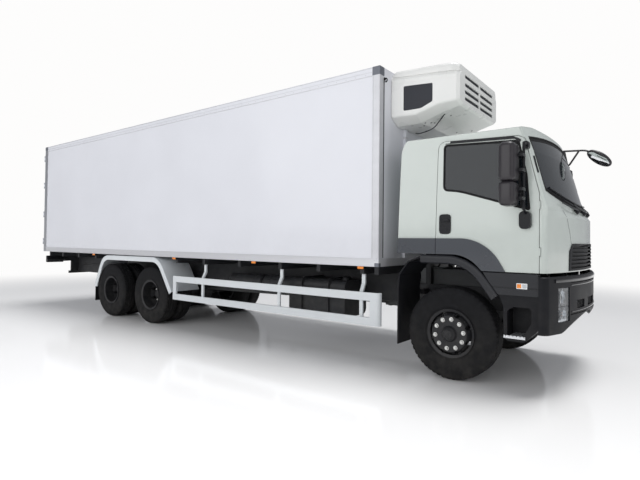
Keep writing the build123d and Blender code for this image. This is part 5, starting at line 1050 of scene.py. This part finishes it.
class TRUCK_OT_cab_interior(TruckPiece):
    """Seats with crowned cushions, bunk, dashboard and steering wheel behind the dark glass"""

    bl_idname = "truck.cab_interior"
    bl_label = "Cab interior"

    def pad(self, low, high, crown, axis):
        """A cushion: a rounded rectangle whose faces swell by a cosine of the distance from the middle."""
        solid = block(low, high, 60, axis)
        middle = (np.asarray(low, float) + high) / 2
        others = [k for k in range(3) if k != axis]
        rows = []
        for share in (1.0, 0.82, 0.55, 0.25):
            row = solid[-1].copy()
            row[:, others] = middle[others] + (row[:, others] - middle[others]) * share
            row[:, axis] += crown * math.cos(share * math.pi / 2)
            rows.append(row)
        return np.concatenate([solid[:-1], np.stack(rows)])

    def steering_wheel(self, skin):
        """A hoop round a tilted axis, its column and three spokes."""
        tilt, centre = np.array([0.55, 0.0, -0.83]), np.array([550, -650, 1960])
        spoke = [(0.0, 1.0)]
        skin.run(turned(spoke, (0, 0, 0), tilt, 48)[0] * 220 + centre, circle(10, 15), tilt, closed=True)
        skin.spin([(-12, 60), (10, 66), (30, 40), (150, 30), (240, 34)], centre, tilt, 20)
        for turn in (0.3, math.pi - 0.3, math.pi * 1.5):
            aim = turned(spoke, (0, 0, 0), tilt, 1, turn)[0, 0]
            skin.run([centre + aim * reach for reach in (50, 130, 214)], strip(34, 12, 4), tilt)

    def execute(self, context):
        seats, rest = Skin(BOTH), Skin(BOTH)
        for low, high, crown, axis in (((-380, 465, 1640), (80, 935, 1800), 34, 2),
                                       ((-510, 475, 1700), (-385, 925, 2340), 30, 0),
                                       ((-500, 580, 2350), (-410, 820, 2440), 14, 0)):
            seats.grid(self.pad(low, high, crown, axis))
        seats.sides = rest.sides = AS_GIVEN
        seats.grid(self.pad((-540, -1040, 1700), (-520, 1040, 1900), 6, 0))
        seats.build("seats", "seat_cloth", "cab", "seat_cloth")
        for y in (-700, 700):
            rest.box((-340, y - 180, 1489), (40, y + 180, 1640), 20, 2)
        # The dashboard's section carried across the cab, swelling as a bell curve over the instruments
        section = [(712, 1705), (948, 1705), (958, 1940), (900, 1982), (760, 1972), (706, 1900)]
        x, z = rounded(section, 40, 6).T
        rest.grid(np.stack([joined(x, y, z + 26 * math.exp(-((y + 650) / 260) ** 2))
                            for y in np.linspace(-1040, 1040, 30)]))
        rest.box((765, -50, 1320), (830, 50, 1710), 12, 2)
        self.steering_wheel(rest)
        rest.build("cab_furniture", "dash_vinyl", "cab", "dark_plastic")
        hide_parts("cab_interior")
        return {"FINISHED"}


class TRUCK_OT_stage(TruckPiece):
    """The pale floor and backdrop, the soft lights and the camera at the photograph's angle"""

    bl_idname = "truck.stage"
    bl_label = "Floor, lights and camera"

    backdrop = (0.985, 0.98, 0.975, 1.0)
    floor_reach, floor_level = 60.0, -0.002
    fade_from, fade_to = 8.5, 17.0

    def floor(self):
        """A slightly glossy square that fades with the distance from its middle into the backdrop's glow."""
        material = bpy.data.materials.new("studio_floor")
        material.use_nodes = True
        tree = material.node_tree
        shader = tree.nodes["Principled BSDF"]
        feed(tree, shader, {"Base Color": (0.93, 0.925, 0.92, 1.0), "Roughness": 0.12})
        place = add_node(tree, "TexCoord", {}, "Object")
        reach = add_node(tree, "VectorMath", {0: place}, "Value", operation="LENGTH")
        span = {"From Min": self.fade_from, "From Max": self.fade_to, "Value": reach}
        fade = add_node(tree, "MapRange", span, "Result", interpolation_type="SMOOTHSTEP")
        glow = add_node(tree, "Emission", {"Color": self.backdrop})
        blend = add_node(tree, "MixShader", {0: fade, 1: shader.outputs[0], 2: glow})
        feed(tree, tree.nodes["Material Output"], {"Surface": blend})
        mesh = bpy.data.meshes.new("floor")
        r, z = self.floor_reach, self.floor_level
        mesh.from_pydata([(-r, -r, z), (r, -r, z), (r, r, z), (-r, r, z)], [], [(0, 1, 2, 3)])
        mesh.materials.append(material)
        floor = linked("floor", mesh)

    def world(self):
        """Soft grey light on the truck, and white where the camera looks past it."""
        world = bpy.data.worlds.new("studio")
        bpy.context.scene.world = world
        world.use_nodes = True
        tree = world.node_tree
        tree.nodes.clear()
        soft = add_node(tree, "Background", {"Color": (0.93, 0.95, 1.0, 1.0), "Strength": 0.36})
        white = add_node(tree, "Background", {"Color": self.backdrop, "Strength": 1.0})
        seen = add_node(tree, "LightPath", {}, "Is Camera Ray")
        blend = add_node(tree, "MixShader", {0: seen, 1: soft, 2: white})
        feed(tree, tree.nodes.new("ShaderNodeOutputWorld"), {0: blend})

    def lamps(self):
        """Two broad lamps beside and ahead of the truck, and a soft one from above."""
        for name, place, aim, size, power in (
                ("side_light", (-5500, -16000, 6500), (-5500, 0, 1500), (24.0, 9.0), 1250),
                ("front_light", (12000, -5000, 5500), (0, 0, 1500), (9.0, 7.0), 170)):
            light = bpy.data.lights.new(name, "AREA")
            light.shape = "RECTANGLE"
            light.size, light.size_y = size
            light.energy = power
            thing = linked(name, light)
            thing.location = at(place)
            thing.rotation_euler = (Vector(at(aim)) - thing.location).to_track_quat("-Z", "Y").to_euler()
        sun = bpy.data.lights.new("overhead_light", "SUN")
        sun.energy, sun.angle = 2.35, math.radians(28)
        linked("overhead_light", sun).rotation_euler = (math.radians(-11), math.radians(7), 0.0)

    def camera(self):
        """A camera 1.57 m above the ground, 37 degrees off the truck's side and a degree up."""
        width, height, focus, middle = 640.0, 480.0, 475.41, (319.44, 232.12)
        lens = bpy.data.cameras.new("camera")
        lens.sensor_width = 36.0
        lens.lens = focus * lens.sensor_width / width
        lens.shift_x = (width / 2 - middle[0]) / width
        lens.shift_y = (middle[1] - height / 2) / width
        lens.clip_end = 300.0
        thing = linked("camera", lens)
        thing.matrix_world = Matrix.Translation(at((2100.34, -6406.28, 1568.53)))
        for degrees, axis in ((37.24, "Z"), (90 + 1.08, "X"), (0.60, "Z")):
            thing.matrix_world @= Matrix.Rotation(math.radians(degrees), 4, axis)
        bpy.context.scene.camera = thing

    def execute(self, context):
        self.floor()
        self.world()
        self.lamps()
        self.camera()
        context.scene.view_settings.view_transform = "Standard"
        return {"FINISHED"}


REPLACED = {"headlamps", "tail_lamps", "cab_interior", "under_mirror", "rear_mudguards"} | {
    name for name in NODES if name.endswith(("_tyre", "_tyres"))
}
STEPS = tuple(TruckPiece.__subclasses__())  # in the order above


class TRUCK_PT_build(bpy.types.Panel):
    """Lists the sizes, the colours and the steps that make the truck's looks"""

    bl_idname = "TRUCK_PT_build"
    bl_label = "Refrigerated truck"
    bl_space_type = "VIEW_3D"
    bl_region_type = "UI"
    bl_category = "Truck"

    def draw(self, context):
        for group in (context.scene.truck_sizes, context.scene.truck_colours):
            box = self.layout.box()
            for name in group.bl_rna.properties.keys():
                if name not in ("rna_type", "name"):
                    box.prop(group, name)
        for step in STEPS:
            self.layout.operator(step.bl_idname)


CLASSES = (TruckSizes, TruckColours, *STEPS, TRUCK_PT_build)


def register():
    for kind in CLASSES:
        bpy.utils.register_class(kind)
    bpy.types.Scene.truck_sizes = PointerProperty(type=TruckSizes)
    bpy.types.Scene.truck_colours = PointerProperty(type=TruckColours)


def unregister():
    del bpy.types.Scene.truck_colours
    del bpy.types.Scene.truck_sizes
    for kind in reversed(CLASSES):
        bpy.utils.unregister_class(kind)


def main():
    register()
    for step in STEPS:
        group, name = step.bl_idname.split(".")
        getattr(getattr(bpy.ops, group), name)()


if __name__ == "__main__":
    main()
